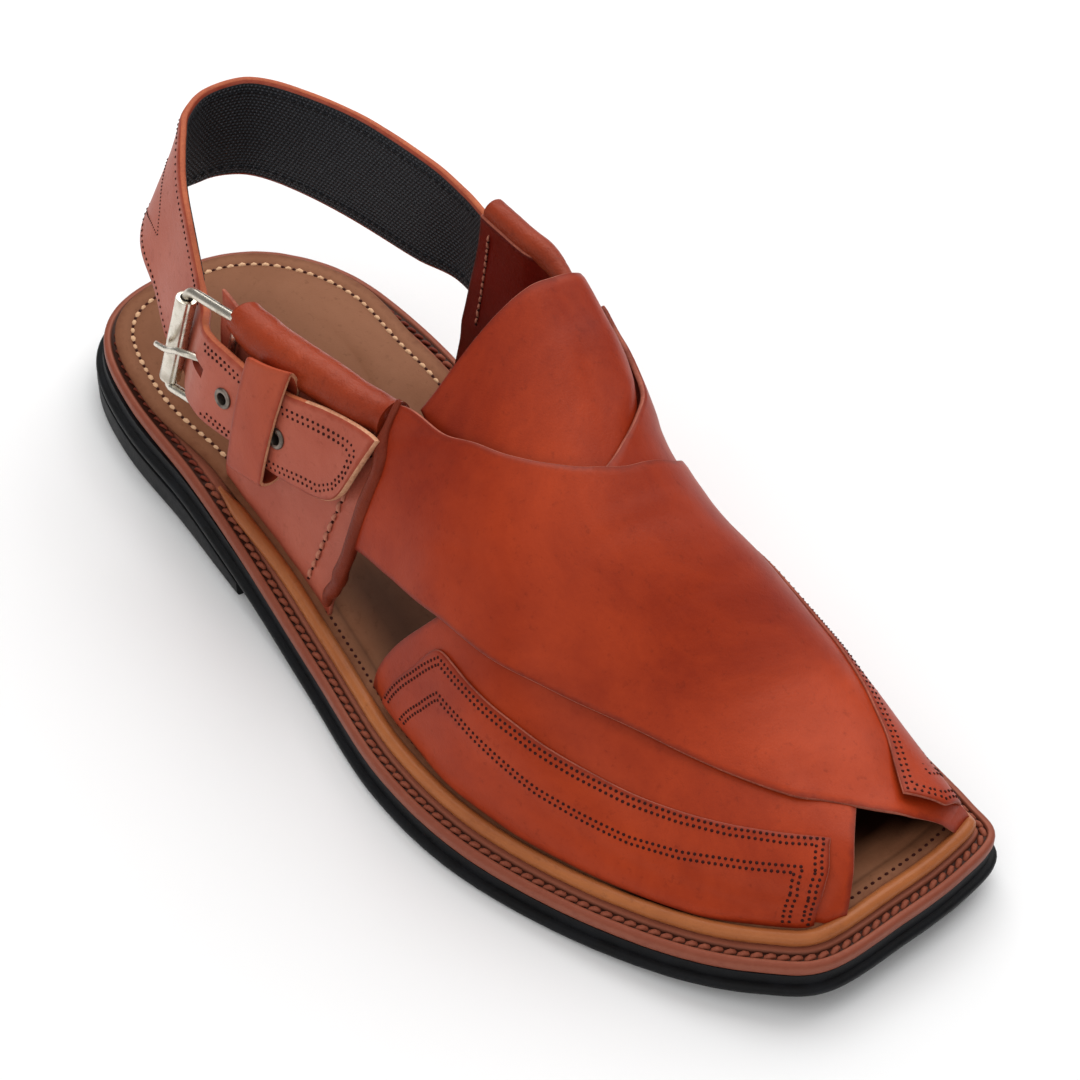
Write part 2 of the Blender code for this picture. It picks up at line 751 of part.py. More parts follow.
slab("outsole", RUBBER_EDGE, (
    (at(0.0), RUBBER_LEDGE - 1.0),
    (at(0.9), RUBBER_LEDGE),
    (at(RUBBER_T - 1.6), RUBBER_LEDGE),
    (at(RUBBER_T), RUBBER_LEDGE - 1.2),
), RUBBER)
slab("heel", RUBBER_EDGE, (
    (lambda x: 0.0, RUBBER_LEDGE - 0.5 - HEEL_TAPER),
    (lambda x: 0.9, RUBBER_LEDGE - HEEL_TAPER),
    (at(-GAP), RUBBER_LEDGE),
), RUBBER, x_max=HEEL_BREAST_X, stations=26)
slab("midsole", inset_loop(0.0), (
    (at(MIDSOLE_LOW), 0.0),
    (at(MIDSOLE_TOP - 0.6), 0.0),
    (at(MIDSOLE_TOP), -0.5),
), WELT)
slab("insole", inset_loop(*FOOTBED_INSET), (
    (at(INSOLE_LOW), 0.0),
    (footbed_at(INSOLE_TOP - 0.5), 0.0),
    (footbed_at(INSOLE_TOP), -0.4),
), FOOTBED)

# ---- piping round the foot of the upper

pipe = inset_loop(*PIPING_INSET)
pipe = np.roll(pipe, -int(np.argmin(pipe[:, 0])), axis=0)
pipe = pipe[pipe[:, 0] > np.where(pipe[:, 1] < 0, PIPING_START_X, PIPING_END_X)]
pipe = pipe[::4]
pipe_z = lift(pipe[:, 0]) + MIDSOLE_TOP + GAP + PIPING_R
wire("piping", np.column_stack([pipe, pipe_z]), PIPING_R, CORD)

# ---- upper: two straps crossed over the forefoot and joined there

upper = shell("upper", *strap_grid(OUTER_STRAP, outer_depth, STRAP_WALL), LEATHER)
under = shell("under_strap", *strap_grid(INNER_STRAP, inner_depth, UNDER_WALL), LEATHER, True)
boolean(upper, under, "UNION")

# ---- tongue under both straps

tongue = rows_between(TONGUE, 19)
v = np.linspace(0, 1, 11)
tx = tongue[:, 1:2] * (1 - v) + tongue[:, 2:3] * v
tt = tongue[:, :1] + 0 * v
full = np.full(tx.shape, TONGUE_TOP)
shell("tongue", skin(tx, tt, full), skin(tx, tt, full + TONGUE_T), LEATHER)

# ---- quarters with rolled top edges

def roll(name, table, ends, depth, radius, count):
    """Round rolled edge along the top of a quarter."""
    rows = rows_between(table, 60)
    rows = rows[(rows[:, 1] > ends[0]) & (rows[:, 1] < ends[1])]
    rows = rows[np.linspace(0, len(rows) - 1, count).round().astype(int)]
    path = [skin(np.array(r[1]), np.array(r[2]), np.array(depth)) for r in rows]
    return as_mesh(wire(name, path, radius, LINING), True)


quarter = shell("outer_quarter", *quarter_grid(OUTER_QUARTER, False), LINING)
boolean(quarter, roll("outer_roll", OUTER_QUARTER, ROLL_X, ROLL_DEPTH, ROLL_R, 14), "UNION")

quarter = shell("inner_quarter", *quarter_grid(INNER_QUARTER, True), LINING)
leaf = shell("pocket_leaf", *leaf_grid(), LINING, True)
boolean(quarter, leaf, "UNION")
boolean(quarter, roll("inner_roll", INNER_QUARTER, INNER_ROLL_X, INNER_ROLL_DEPTH,
                      INNER_ROLL_R, 10), "UNION")

# ---- heel strap with its prong slot and eyelet holes

strap_out, strap_in, strap_n = heel_strap_grid()
strap = shell("heel_strap", strap_out, strap_in, LINING)
for number, (x, z) in enumerate(EYELETS, 1):
    centre, normal = strap_spot(x, z)
    place = frame_at(centre, normal, (0, 0, 1))
    mesh = bpy.data.meshes.new("hole")
    bm = bmesh.new()
    bmesh.ops.create_cone(bm, cap_ends=True, segments=20, radius1=EYELET_HOLE_R * MM,
                          radius2=EYELET_HOLE_R * MM, depth=9.0 * MM)
    bm.to_mesh(mesh)
    bm.free()
    hole = add_object("eyelet_hole_%d" % number, mesh, True)
    hole.matrix_world = place
    boolean(strap, hole, "DIFFERENCE")
    ring = bpy.data.meshes.new("eyelet")
    low, high = -STRAP_T - 0.2, 0.2
    profile = (
        (EYELET_BORE_R, high + 0.4), (EYELET_R - 0.15, high + 0.4), (EYELET_R, high),
        (EYELET_BARREL_R, high), (EYELET_BARREL_R, low), (EYELET_BORE_R, low),
    )
    count = len(profile)
    ring.from_pydata([(r * MM, 0, h * MM) for r, h in profile],
                     [(i, (i + 1) % count) for i in range(count)], [])
    ring.materials.append(DARK_METAL)
    eyelet = add_object("eyelet_%d" % number, ring)
    eyelet.matrix_world = place
    turn = eyelet.modifiers.new("turn", "SCREW")
    turn.angle = math.tau
    turn.steps = 20
    turn.render_steps = 20
    turn.use_merge_vertices = True
    turn.merge_threshold = 0.00001

slot_at, slot_normal = strap_spot(SLOT_X, SLOT_Z)
mesh = bpy.data.meshes.new("slot")
bm = bmesh.new()
bmesh.ops.create_cube(bm, size=1.0)
bmesh.ops.scale(bm, vec=(SLOT_LENGTH * MM, SLOT_WIDTH * MM, 12.0 * MM), verts=bm.verts)
bm.to_mesh(mesh)
bm.free()
slot = add_object("prong_slot", mesh, True)
slot.matrix_world = frame_at(slot_at, slot_normal, (0.08, 0, 1))
boolean(strap, slot, "DIFFERENCE")

# ---- buckle: wire frame, roller on its rear bar, prong

corners = [on_side(*row) for row in BUCKLE_CORNERS]
wire("buckle_frame", rounded_path(corners, BUCKLE_CORNER_R), BUCKLE_WIRE_R, NICKEL, True)

bar_top, bar_low = corners[0], corners[3]
bar = (bar_top - bar_low) / np.linalg.norm(bar_top - bar_low)
roller_mesh = bpy.data.meshes.new("buckle_roller")
half = ROLLER_LENGTH / 2
inside = ROLLER_R - ROLLER_WALL
profile = (
    (inside, half), (ROLLER_R - 0.3, half), (ROLLER_R, half - 0.3),
    (ROLLER_R, -half + 0.3), (ROLLER_R - 0.3, -half), (inside, -half),
)
roller_mesh.from_pydata([(r * MM, 0, h * MM) for r, h in profile],
                        [(i, (i + 1) % len(profile)) for i in range(len(profile))], [])
roller_mesh.materials.append(NICKEL)
roller = add_object("buckle_roller", roller_mesh)
roller.matrix_world = frame_at((bar_top + bar_low) / 2, bar, (1, 0, 0))
turn = roller.modifiers.new("turn", "SCREW")
turn.angle = math.tau
turn.steps = 24
turn.render_steps = 24
turn.use_merge_vertices = True
turn.merge_threshold = 0.00001

prong = np.array([on_side(*row) for row in PRONG_PATH])
prong = rows_between(prong, 16)
wire("buckle_prong", prong, PRONG_R, NICKEL)

# ---- keeper loop round the strap

zs = np.linspace(0, 1, 7)
low = KEEPER_LOW_Z + KEEPER_BEND
high = KEEPER_TOP_Z - KEEPER_BEND
mid_depth = (KEEPER_OUT_DEPTH + KEEPER_IN_DEPTH) / 2
reach = (KEEPER_IN_DEPTH - KEEPER_OUT_DEPTH) / 2
turns = np.linspace(0, math.pi, 7)[1:-1]
path = [(low + k * (high - low), KEEPER_OUT_DEPTH) for k in zs]
for a in turns:
    drop = KEEPER_DROP * (1 - math.cos(a)) / 2
    path.append((high - drop + KEEPER_BEND * math.sin(a), mid_depth - reach * math.cos(a)))
path += [(low + k * (high - KEEPER_DROP - low), KEEPER_IN_DEPTH) for k in zs[::-1]]
for a in turns:
    path.append((low - KEEPER_BEND * math.sin(a), mid_depth + reach * math.cos(a)))
path = np.array(path)
ring_dir = np.roll(path, -1, 0) - np.roll(path, 1, 0)
ring_n = np.stack([-ring_dir[:, 1], ring_dir[:, 0]], -1)
ring_n /= np.linalg.norm(ring_n, axis=1)[:, None]
if ((path - path.mean(0)) * ring_n).sum() < 0:
    ring_n = -ring_n
inner_path = path - ring_n * KEEPER_T
verts = []
for x in np.linspace(KEEPER_X[0], KEEPER_X[1], 4):
    rise = (x - KEEPER_X[0]) * KEEPER_RISE
    for ring in (path, inner_path):
        for z, depth in ring:
            verts.append(on_side(x, z + rise, depth))
count = len(path)
faces = []
for step in range(3):
    a, b = step * 2 * count, (step + 1) * 2 * count
    for i in range(count):
        j = (i + 1) % count
        faces.append((a + i, a + j, b + j, b + i))
        faces.append((a + count + i, b + count + i, b + count + j, a + count + j))
for base in (0, 6 * count):
    for i in range(count):
        j = (i + 1) % count
        faces.append((base + i, base + j, base + count + j, base + count + i))
add_mesh("keeper", verts, faces, LINING)
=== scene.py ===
# %% [markdown]
# # A peshawari chappal, right shoe
# This open leather shoe has two wide straps that cross over the forefoot, a
# tongue under them, two quarters, and a strap round the heel with a roller
# buckle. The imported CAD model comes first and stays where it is. Every cell
# after it makes one real piece of leather, rubber, metal or thread on top.

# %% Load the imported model
import math

import bmesh
import bpy
import numpy as np
from mathutils import Matrix


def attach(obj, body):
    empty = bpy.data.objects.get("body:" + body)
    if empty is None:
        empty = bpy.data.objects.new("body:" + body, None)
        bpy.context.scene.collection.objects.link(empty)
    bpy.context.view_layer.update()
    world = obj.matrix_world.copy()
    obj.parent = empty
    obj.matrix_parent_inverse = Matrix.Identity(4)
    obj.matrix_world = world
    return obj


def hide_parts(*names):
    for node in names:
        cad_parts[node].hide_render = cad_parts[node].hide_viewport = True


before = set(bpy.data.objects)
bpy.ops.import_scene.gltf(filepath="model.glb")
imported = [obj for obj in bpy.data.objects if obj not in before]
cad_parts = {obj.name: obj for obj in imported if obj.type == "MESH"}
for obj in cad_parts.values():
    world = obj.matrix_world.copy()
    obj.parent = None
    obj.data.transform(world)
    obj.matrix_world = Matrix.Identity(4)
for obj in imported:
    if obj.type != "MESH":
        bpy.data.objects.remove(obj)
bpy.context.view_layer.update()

# %% [markdown]
# ## Sizes in millimetres from the heel
# A shoemaker measures from the back of the heel, in millimetres. The tables
# below do the same, and one function turns them into metres from the middle
# of the sole, which is where the model has its origin. +X points to the toe,
# +Y to the inner side of the foot and +Z up.

# %% Smooth curves through tables of sizes
MM = 0.001


def curve(xs, ys):
    """Smooth function through a table that never swings past its values."""
    xs, ys = np.asarray(xs, float), np.asarray(ys, float)
    h = np.diff(xs)
    d = np.diff(ys) / h
    m = np.concatenate([d[:1], np.zeros(len(ys) - 2), d[-1:]])
    for i in range(1, len(xs) - 1):
        if d[i - 1] * d[i] > 0:
            w1, w2 = 2 * h[i] + h[i - 1], h[i] + 2 * h[i - 1]
            m[i] = (w1 + w2) / (w1 / d[i - 1] + w2 / d[i])

    def value(x):
        x = np.clip(np.asarray(x, float), xs[0], xs[-1])
        i = np.clip(np.searchsorted(xs, x) - 1, 0, len(xs) - 2)
        s = (x - xs[i]) / h[i]
        a, b = (1 + 2 * s) * (1 - s) ** 2, s * (1 - s) ** 2
        c, e = s * s * (3 - 2 * s), s * s * (s - 1)
        return a * ys[i] + b * h[i] * m[i] + c * ys[i + 1] + e * h[i] * m[i + 1]

    return value


def smooth(x):
    """Soft step from 0 to 1."""
    x = np.clip(x, 0.0, 1.0)
    return x * x * (3 - 2 * x)


def mix(a, b, share):
    return a + (b - a) * share


def unit(v):
    return v / np.maximum(np.linalg.norm(v, axis=-1, keepdims=True), 1e-9)


def travelled(path):
    """Distance along a path, starting at zero."""
    return np.concatenate([[0], np.cumsum(np.linalg.norm(np.diff(path, axis=0), axis=1))])


def read_at(where, s, path):
    """Points of a path at given distances, where s is the distance at each point."""
    return np.stack([np.interp(where, s, path[:, k]) for k in range(path.shape[1])], -1)


def resample(path, count, closed=False):
    """Points evenly spaced along a path."""
    line = np.vstack([path, path[:1]]) if closed else np.asarray(path, float)
    s = travelled(line)
    return read_at(np.linspace(0, s[-1], count, endpoint=not closed), s, line)


def path_through(points, count):
    """Smooth open path through a few points."""
    p = np.asarray(points, float)
    s = travelled(p)
    fine = np.linspace(0, s[-1], 20 * len(p))
    return resample(np.stack([curve(s, p[:, k])(fine) for k in range(p.shape[1])], -1), count)


def read_table(table, u):
    """Rows of a table read smoothly at the shares u, from its first row to its last."""
    t = np.array(table, float)
    rows = np.linspace(0, 1, len(t))
    return np.stack([curve(rows, t[:, k])(u) for k in range(t.shape[1])], -1)


def ruled(a, b, v):
    """Straight lines from a to b, read at the shares v."""
    return a * (1 - v) + b * v


def spread(count, first):
    """Shares from 0 to 1 with one narrow step at each end, for a crisp edge."""
    return np.concatenate([[0.0], np.linspace(first, 1 - first, count - 2), [1.0]])


print("half way up a soft step:", smooth(0.5))

# %% [markdown]
# ## The edge of the sole
# One outline rules the whole sole: the welt is cut to it, and every other
# layer, groove and row of stitches is that outline moved inwards. Moving a
# loop inwards makes little knots at tight corners, so points that come too
# near the outline are replaced by their neighbours' line.

# %% Outline of the sole and loops inside it
SOLE_OUTLINE = (
    (0.5, 1.5), (3.2, -16.0), (14.3, -28.1), (36.2, -35.8), (67.9, -40.8),
    (102.2, -46.9), (137.0, -54.1), (171.9, -62.3), (202.6, -63.1),
    (233.9, -56.1), (262.8, -45.2), (281.3, -33.8), (292.3, -21.6),
    (294.1, 2.0), (293.9, 21.9), (290.3, 37.0), (278.2, 41.6), (258.8, 45.4),
    (232.0, 49.4), (204.6, 48.7), (174.4, 43.2), (139.2, 39.8), (104.1, 42.3),
    (68.9, 45.0), (36.9, 44.3), (16.0, 35.2), (4.2, 20.8),
)
RING = 480              # points round the sole
WAIST_X, WAIST_RUN = 78.0, 38.0
HEEL_X, HEEL_RUN = 42.0, 32.0


def closed_spline(points, count):
    p = np.asarray(points, float)
    n, fine = len(p), []
    for i in range(n):
        a, b, c, d = p[i - 1], p[i], p[(i + 1) % n], p[(i + 2) % n]
        for s in np.linspace(0, 1, 16, endpoint=False):
            fine.append((1 + 2 * s) * (1 - s) ** 2 * b + s * (1 - s) ** 2 * (c - a) / 2
                        + s * s * (3 - 2 * s) * c + s * s * (s - 1) * (d - b) / 2)
    return resample(np.array(fine), count, closed=True)


EDGE = closed_spline(SOLE_OUTLINE, RING)
_t = np.roll(EDGE, -1, 0) - np.roll(EDGE, 1, 0)
EDGE_OUT = unit(np.stack([_t[:, 1], -_t[:, 0]], -1))


def ring(fore, rear=None, heel=None):
    """The outline moved inwards, point by point: forefoot, waist and heel."""
    rear = fore if rear is None else rear
    heel = rear if heel is None else heel
    d = mix(rear, fore, smooth((EDGE[:, 0] - WAIST_X) / WAIST_RUN))
    d = mix(heel, d, smooth((EDGE[:, 0] - HEEL_X) / HEEL_RUN))
    q = EDGE - EDGE_OUT * d[:, None]
    gap = np.linalg.norm(EDGE[None] - q[:, None], axis=2).min(axis=1)
    good = gap > np.abs(d) - 0.15
    i = np.arange(RING)
    return np.stack([np.interp(i, i[good], q[good, k], period=RING) for k in (0, 1)], -1)


RUBBER_GROWTH = (0.0, -0.5, -1.1)
_rubber = ring(*RUBBER_GROWTH)
MIDDLE = np.append((_rubber.min(axis=0) + _rubber.max(axis=0)) / 2, 0.0)


def metres(points):
    return (np.asarray(points, float) - MIDDLE) * MM


print("middle of the sole, mm from the heel:", MIDDLE.round(2))

# %% [markdown]
# ## Heights in the sole and the shape of the foot
# The sole stands on a heel block and the toe springs up a little. On it lies
# the foot shape, which shoemakers call a last. Every strap is a patch of that
# shape, so all of them use one function: x is how far along, t runs from 0 at
# the outer foot line over the top to 1 at the inner one, and depth is how far
# the point lies under the last's surface.

# %% Heights of the sole and the foot shape
HEEL_LIFT, ARCH_X, ARCH_RUN = 9.0, 150.0, 90.0
TOE_SPRING, SPRING_X, SPRING_RUN = 6.0, 220.0, 70.0
RUBBER_T, WELT_T, FOOTBED_T, GAP = 6.2, 4.2, 3.0, 0.3
WELT_LOW = RUBBER_T + GAP
WELT_TOP = WELT_LOW + WELT_T
FOOTBED_LOW = WELT_TOP + GAP
FOOTBED_TOP = FOOTBED_LOW + FOOTBED_T
FOOTBED_SKIVE, SKIVE_X = 1.4, 88.0

LAST_SECTIONS = (
    # x, ridge height, skew on the outer side, skew on the inner side
    (50.0, 88.0, 12.0, 24.0), (90.0, 88.0, 13.0, 22.3), (110.0, 89.5, 21.0, 23.8),
    (130.0, 91.0, 29.0, 27.8), (150.0, 83.0, 24.0, 24.8), (165.0, 75.1, 17.7, 18.2),
    (200.0, 56.5, 5.0, 5.0), (240.0, 31.2, 6.0, 6.0), (272.0, 19.5, 2.5, 2.5),
    (281.0, 16.5, 1.2, 1.2), (288.0, 9.0, 0.5, 0.5),
)
LAST_FULLNESS = 0.69
FOOT_LINE = (
    # x, outer y, inner y
    (40.0, -29.6, 36.5), (60.0, -32.6, 36.6), (76.0, -35.2, 35.8), (90.0, -37.2, 34.0),
    (104.0, -38.6, 32.4), (118.0, -40.7, 31.1), (132.0, -43.6, 30.4), (150.0, -47.8, 31.0),
    (170.0, -52.7, 33.3), (190.0, -54.5, 36.9), (210.0, -52.7, 40.0), (230.0, -47.7, 40.3),
    (246.0, -42.3, 38.3), (258.0, -37.3, 36.2), (268.0, -32.0, 34.4), (275.0, -27.1, 32.9),
    (279.0, -23.9, 32.0), (281.5, -21.8, 31.4), (283.3, -19.3, 30.7), (284.5, -13.4, 23.3),
)
_last, _foot = np.array(LAST_SECTIONS), np.array(FOOT_LINE)
ridge, skew_out, skew_in = (curve(_last[:, 0], _last[:, k]) for k in (1, 2, 3))
foot_out, foot_in = (curve(_foot[:, 0], _foot[:, k]) for k in (1, 2))


def lift(x):
    """Height of the outsole's underside: heel, arch and toe spring."""
    heel = HEEL_LIFT * smooth((ARCH_X - np.asarray(x, float)) / ARCH_RUN)
    return heel + TOE_SPRING * np.clip((x - SPRING_X) / SPRING_RUN, 0, 1.3) ** 2


def footbed_z(x):
    return lift(x) + FOOTBED_TOP - FOOTBED_SKIVE * smooth((SKIVE_X - x) / 30)


def last(x, t):
    x, t = np.broadcast_arrays(np.asarray(x, float), np.asarray(t, float))
    a, b, s = foot_out(x), foot_in(x), np.sin(math.pi * t)
    skew = mix(skew_out(x), skew_in(x), smooth((t - 0.3) / 0.4))
    y = (a + b) / 2 - (b - a) / 2 * np.cos(math.pi * t) + skew * s
    z = lift(x) + FOOTBED_TOP + GAP + ridge(x) * np.maximum(s, 0) ** LAST_FULLNESS
    return np.stack([x, y, z], -1)


def last_normal(x, t):
    t0 = np.clip(np.asarray(t, float) - 0.004, 0.0005, 1)
    t1 = np.clip(np.asarray(t, float) + 0.004, 0, 0.9995)
    return -unit(np.cross(last(x, t1) - last(x, t0), last(x + 0.5, t) - last(x - 0.5, t)))


def skin(x, t, depth):
    """Point of the foot shape moved inwards by depth."""
    return last(x, t) - last_normal(x, t) * np.broadcast_to(depth, np.shape(x))[..., None]


def side_t(x, z, inner=False):
    """The t whose height at x is z, on the outer or the inner side."""
    h = np.clip((z - lift(x) - FOOTBED_TOP - GAP) / ridge(x), 0, 1)
    t = np.arcsin(h ** (1 / LAST_FULLNESS)) / math.pi
    return 1 - t if inner else t


def on_side(x, z, depth, inner=False):
    x, z, depth = (np.asarray(v, float) for v in (x, z, depth))
    return skin(x, side_t(x, z, inner), depth)


print("top of the foot shape at x = 150:", last(150.0, 0.5).round(1))

# %% [markdown]
# ## The camera, the floor and the light
# The viewpoint is set before anything else is made, so that each piece can be
# judged as it appears. A long lens from about 90 cm keeps the proportions
# calm. The floor is one pale sheet and the light comes from large soft
# panels, as in a product studio: leather shows its colour in soft light, and
# a big panel makes the wide, quiet highlights that waxed leather has.

# %% Camera
AZIMUTH, ELEVATION, ROLL = (math.radians(a) for a in (46.4328, 46.0, 2.8394))
AIM_MM = (145.0, 0.0, 30.0)
DISTANCE_MM, SLIDE_MM, RAISE_MM = 902.083, 11.933, -0.27
SENSOR_MM, LENS_MM = 36.0, 116.667

back = np.array([math.sin(AZIMUTH) * math.cos(ELEVATION),
                 -math.cos(AZIMUTH) * math.cos(ELEVATION), math.sin(ELEVATION)])
side = np.array([math.cos(AZIMUTH), math.sin(AZIMUTH), 0.0])
above = np.cross(side, -back)
eye = np.array(AIM_MM) + back * DISTANCE_MM + side * SLIDE_MM + above * RAISE_MM
right = math.cos(ROLL) * side + math.sin(ROLL) * above
up = -math.sin(ROLL) * side + math.cos(ROLL) * above

lens = bpy.data.cameras.new("studio_camera")
lens.sensor_width = SENSOR_MM
lens.lens = LENS_MM
camera = bpy.data.objects.new("studio_camera", lens)
pose = np.eye(4)
pose[:3, 0], pose[:3, 1], pose[:3, 2], pose[:3, 3] = right, up, back, metres(eye)
camera.matrix_world = Matrix(pose.tolist())
bpy.context.scene.collection.objects.link(camera)
bpy.context.scene.camera = camera
print("camera at", metres(eye).round(3))


# %% Nodes with less typing
def add(tree, kind, inputs=None, **settings):
    """New node with its settings; an input may be a value or another node's output."""
    made = tree.nodes.new("ShaderNode" + kind)
    for key, value in settings.items():
        setattr(made, key, value)
    for key, value in (inputs or {}).items():
        if isinstance(value, bpy.types.NodeSocket):
            tree.links.new(value, made.inputs[key])
        else:
            made.inputs[key].default_value = value
    return made


def maths(tree, operation, a, b=0.0, clamp=False):
    made = add(tree, "Math", {0: a, 1: b}, operation=operation, use_clamp=clamp)
    return made.outputs[0]


def blend(tree, share, a, b):
    """Colour a turning into colour b."""
    a, b = ((*c, 1.0) if isinstance(c, tuple) else c for c in (a, b))
    made = add(tree, "Mix", {0: share, 6: a, 7: b}, data_type="RGBA")
    return made.outputs[2]


def stretch(tree, value, low, high, to_low=0.0, to_high=1.0):
    """Map part of a value's range to 0..1 or to another range."""
    made = add(tree, "MapRange", {"Value": value, "From Min": low, "From Max": high,
                                  "To Min": to_low, "To Max": to_high})
    return made.outputs[0]


def new_material(name):
    made = bpy.data.materials.new(name)
    made.use_nodes = True
    tree = made.node_tree
    return made, tree, tree.nodes["Principled BSDF"]


# %% Floor and light panels
AIM_METRES = (0.0, 0.0, 0.03)
AIR_STRENGTH, PAPER_HALF = 0.22, 4.0


def panel(name, size, power, place):
    """Large soft light: size and place in metres, power in watts."""
    light = bpy.data.lights.new(name, "AREA")
    light.shape = "RECTANGLE"
    light.size, light.size_y = size
    light.energy = power
    lamp = bpy.data.objects.new(name, light)
    z = unit(np.array(place) - AIM_METRES)
    x = unit(np.cross((0.0, 0.0, 1.0), z) + (1e-6, 0, 0))
    m = np.eye(4)
    m[:3, 0], m[:3, 1], m[:3, 2], m[:3, 3] = x, np.cross(z, x), z, place
    lamp.matrix_world = Matrix(m.tolist())
    bpy.context.scene.collection.objects.link(lamp)


scene = bpy.context.scene
scene.view_settings.view_transform = "Standard"
world = bpy.data.worlds.new("studio_air")
world.use_nodes = True
air = world.node_tree.nodes["Background"]
air.inputs["Color"].default_value = (1.0, 1.0, 1.0, 1.0)
air.inputs["Strength"].default_value = AIR_STRENGTH
scene.world = world

flat_side = np.array([side[0], side[1], 0.0])
away = -unit(np.array([back[0], back[1], 0.0]))
high = np.array([0.0, 0.0, 1.0])
panel("key_panel", (1.9, 1.3), 21.0, 0.25 * flat_side + 0.85 * away + 1.15 * high)
panel("top_panel", (1.9, 1.9), 9.0, 1.45 * high - 0.2 * away)
panel("left_panel", (0.7, 1.0), 2.0, -1.15 * flat_side - 0.35 * away + 0.55 * high)
panel("front_panel", (1.5, 0.6), 4.5, -1.25 * away - 0.1 * flat_side + 0.75 * high)

floor_mesh = bpy.data.meshes.new("studio_floor")
floor_mesh.from_pydata([(x * PAPER_HALF, y * PAPER_HALF, 0) for x, y in
                        ((-1, -1), (1, -1), (1, 1), (-1, 1))], [], [(0, 1, 2, 3)])
floor = bpy.data.objects.new("studio_floor", floor_mesh)
scene.collection.objects.link(floor)
paper, tree, shader = new_material("pale_paper")
tint = add(tree, "TexNoise", {"Scale": 1.5, "Detail": 2.0}).outputs[0]
tree.links.new(blend(tree, tint, (0.90, 0.90, 0.90), (0.93, 0.93, 0.93)),
               shader.inputs["Base Color"])
shader.inputs["Roughness"].default_value = 0.9
floor_mesh.materials.append(paper)

# %% [markdown]
# ## Finishes: what leather does
# Full grain leather is dyed unevenly, has pores and fine wrinkles, and is
# darker and glossier where it was burnished along a cut edge. One node group
# makes the grain, another reads how far a point is from the cut edge. That
# distance is stored on the mesh when a piece is cut, so the wear follows the
# real edge. Only colours, masks and heights leave a group, and each material
# keeps its own shader.


# %% Shader groups
def new_group(name, inputs, outputs):
    tree = bpy.data.node_groups.new(name, "ShaderNodeTree")
    for label, value in inputs.items():
        socket = tree.interface.new_socket(label, in_out="INPUT", socket_type="NodeSocketFloat")
        socket.default_value = value
    for label in outputs:
        tree.interface.new_socket(label, in_out="OUTPUT", socket_type="NodeSocketFloat")
    return tree, tree.nodes.new("NodeGroupInput"), tree.nodes.new("NodeGroupOutput")


def use_group(tree, group, inputs=None):
    made = add(tree, "Group", node_tree=group)
    for key, value in (inputs or {}).items():
        made.inputs[key].default_value = value
    return made


def hide_grain():
    """Pores, fine wrinkles, cloudy dye and small marks of full grain leather."""
    tree, given, result = new_group("hide_grain", {"Pores": 1.0, "Wrinkles": 1.0},
                                    ("Height", "Clouds", "Marks"))
    place = add(tree, "TexCoord").outputs["Object"]
    pore = add(tree, "TexVoronoi", {"Vector": place, "Scale": 1500.0}, feature="F1").outputs[0]
    pore = stretch(tree, pore, 0.0, 0.55)
    fine = add(tree, "TexNoise", {"Vector": place, "Scale": 2600.0, "Detail": 3.0}).outputs[0]
    fold = add(tree, "TexNoise", {"Vector": place, "Scale": 260.0, "Detail": 5.0,
                                  "Roughness": 0.62, "Distortion": 0.7}).outputs[0]
    fold = maths(tree, "ABSOLUTE", maths(tree, "SUBTRACT", fold, 0.5))
    fold = maths(tree, "POWER", maths(tree, "MULTIPLY", fold, 4.0, True), 0.6)
    total = maths(tree, "MULTIPLY", maths(tree, "ADD", pore, fine), given.outputs["Pores"])
    total = maths(tree, "MULTIPLY", total, 0.35)
    ripple = maths(tree, "MULTIPLY", fold, given.outputs["Wrinkles"])
    tree.links.new(maths(tree, "ADD", total, ripple), result.inputs["Height"])
    cloud = add(tree, "TexNoise", {"Vector": place, "Scale": 17.0, "Detail": 6.0,
                                   "Roughness": 0.68, "Distortion": 0.4}).outputs[0]
    tree.links.new(stretch(tree, cloud, 0.3, 0.7), result.inputs["Clouds"])
    mark = add(tree, "TexNoise", {"Vector": place, "Scale": 420.0, "Detail": 7.0,
                                  "Roughness": 0.75}).outputs[0]
    tree.links.new(stretch(tree, mark, 0.56, 0.74), result.inputs["Marks"])
    return tree


def edge_wear():
    """How burnished a point is, from its distance to the cut edge in mm."""
    tree, given, result = new_group("edge_wear", {"Width": 1.6}, ("Burnish",))
    place = add(tree, "TexCoord").outputs["Object"]
    near = add(tree, "Attribute", attribute_name="edge_mm").outputs["Fac"]
    rough = add(tree, "TexNoise", {"Vector": place, "Scale": 420.0, "Detail": 4.0}).outputs[0]
    ragged = maths(tree, "MULTIPLY", maths(tree, "SUBTRACT", rough, 0.5), 1.6)
    share = maths(tree, "DIVIDE", near, given.outputs["Width"])
    burnish = maths(tree, "SUBTRACT", 1.0, maths(tree, "ADD", share, ragged), True)
    tree.links.new(burnish, result.inputs["Burnish"])
    return tree


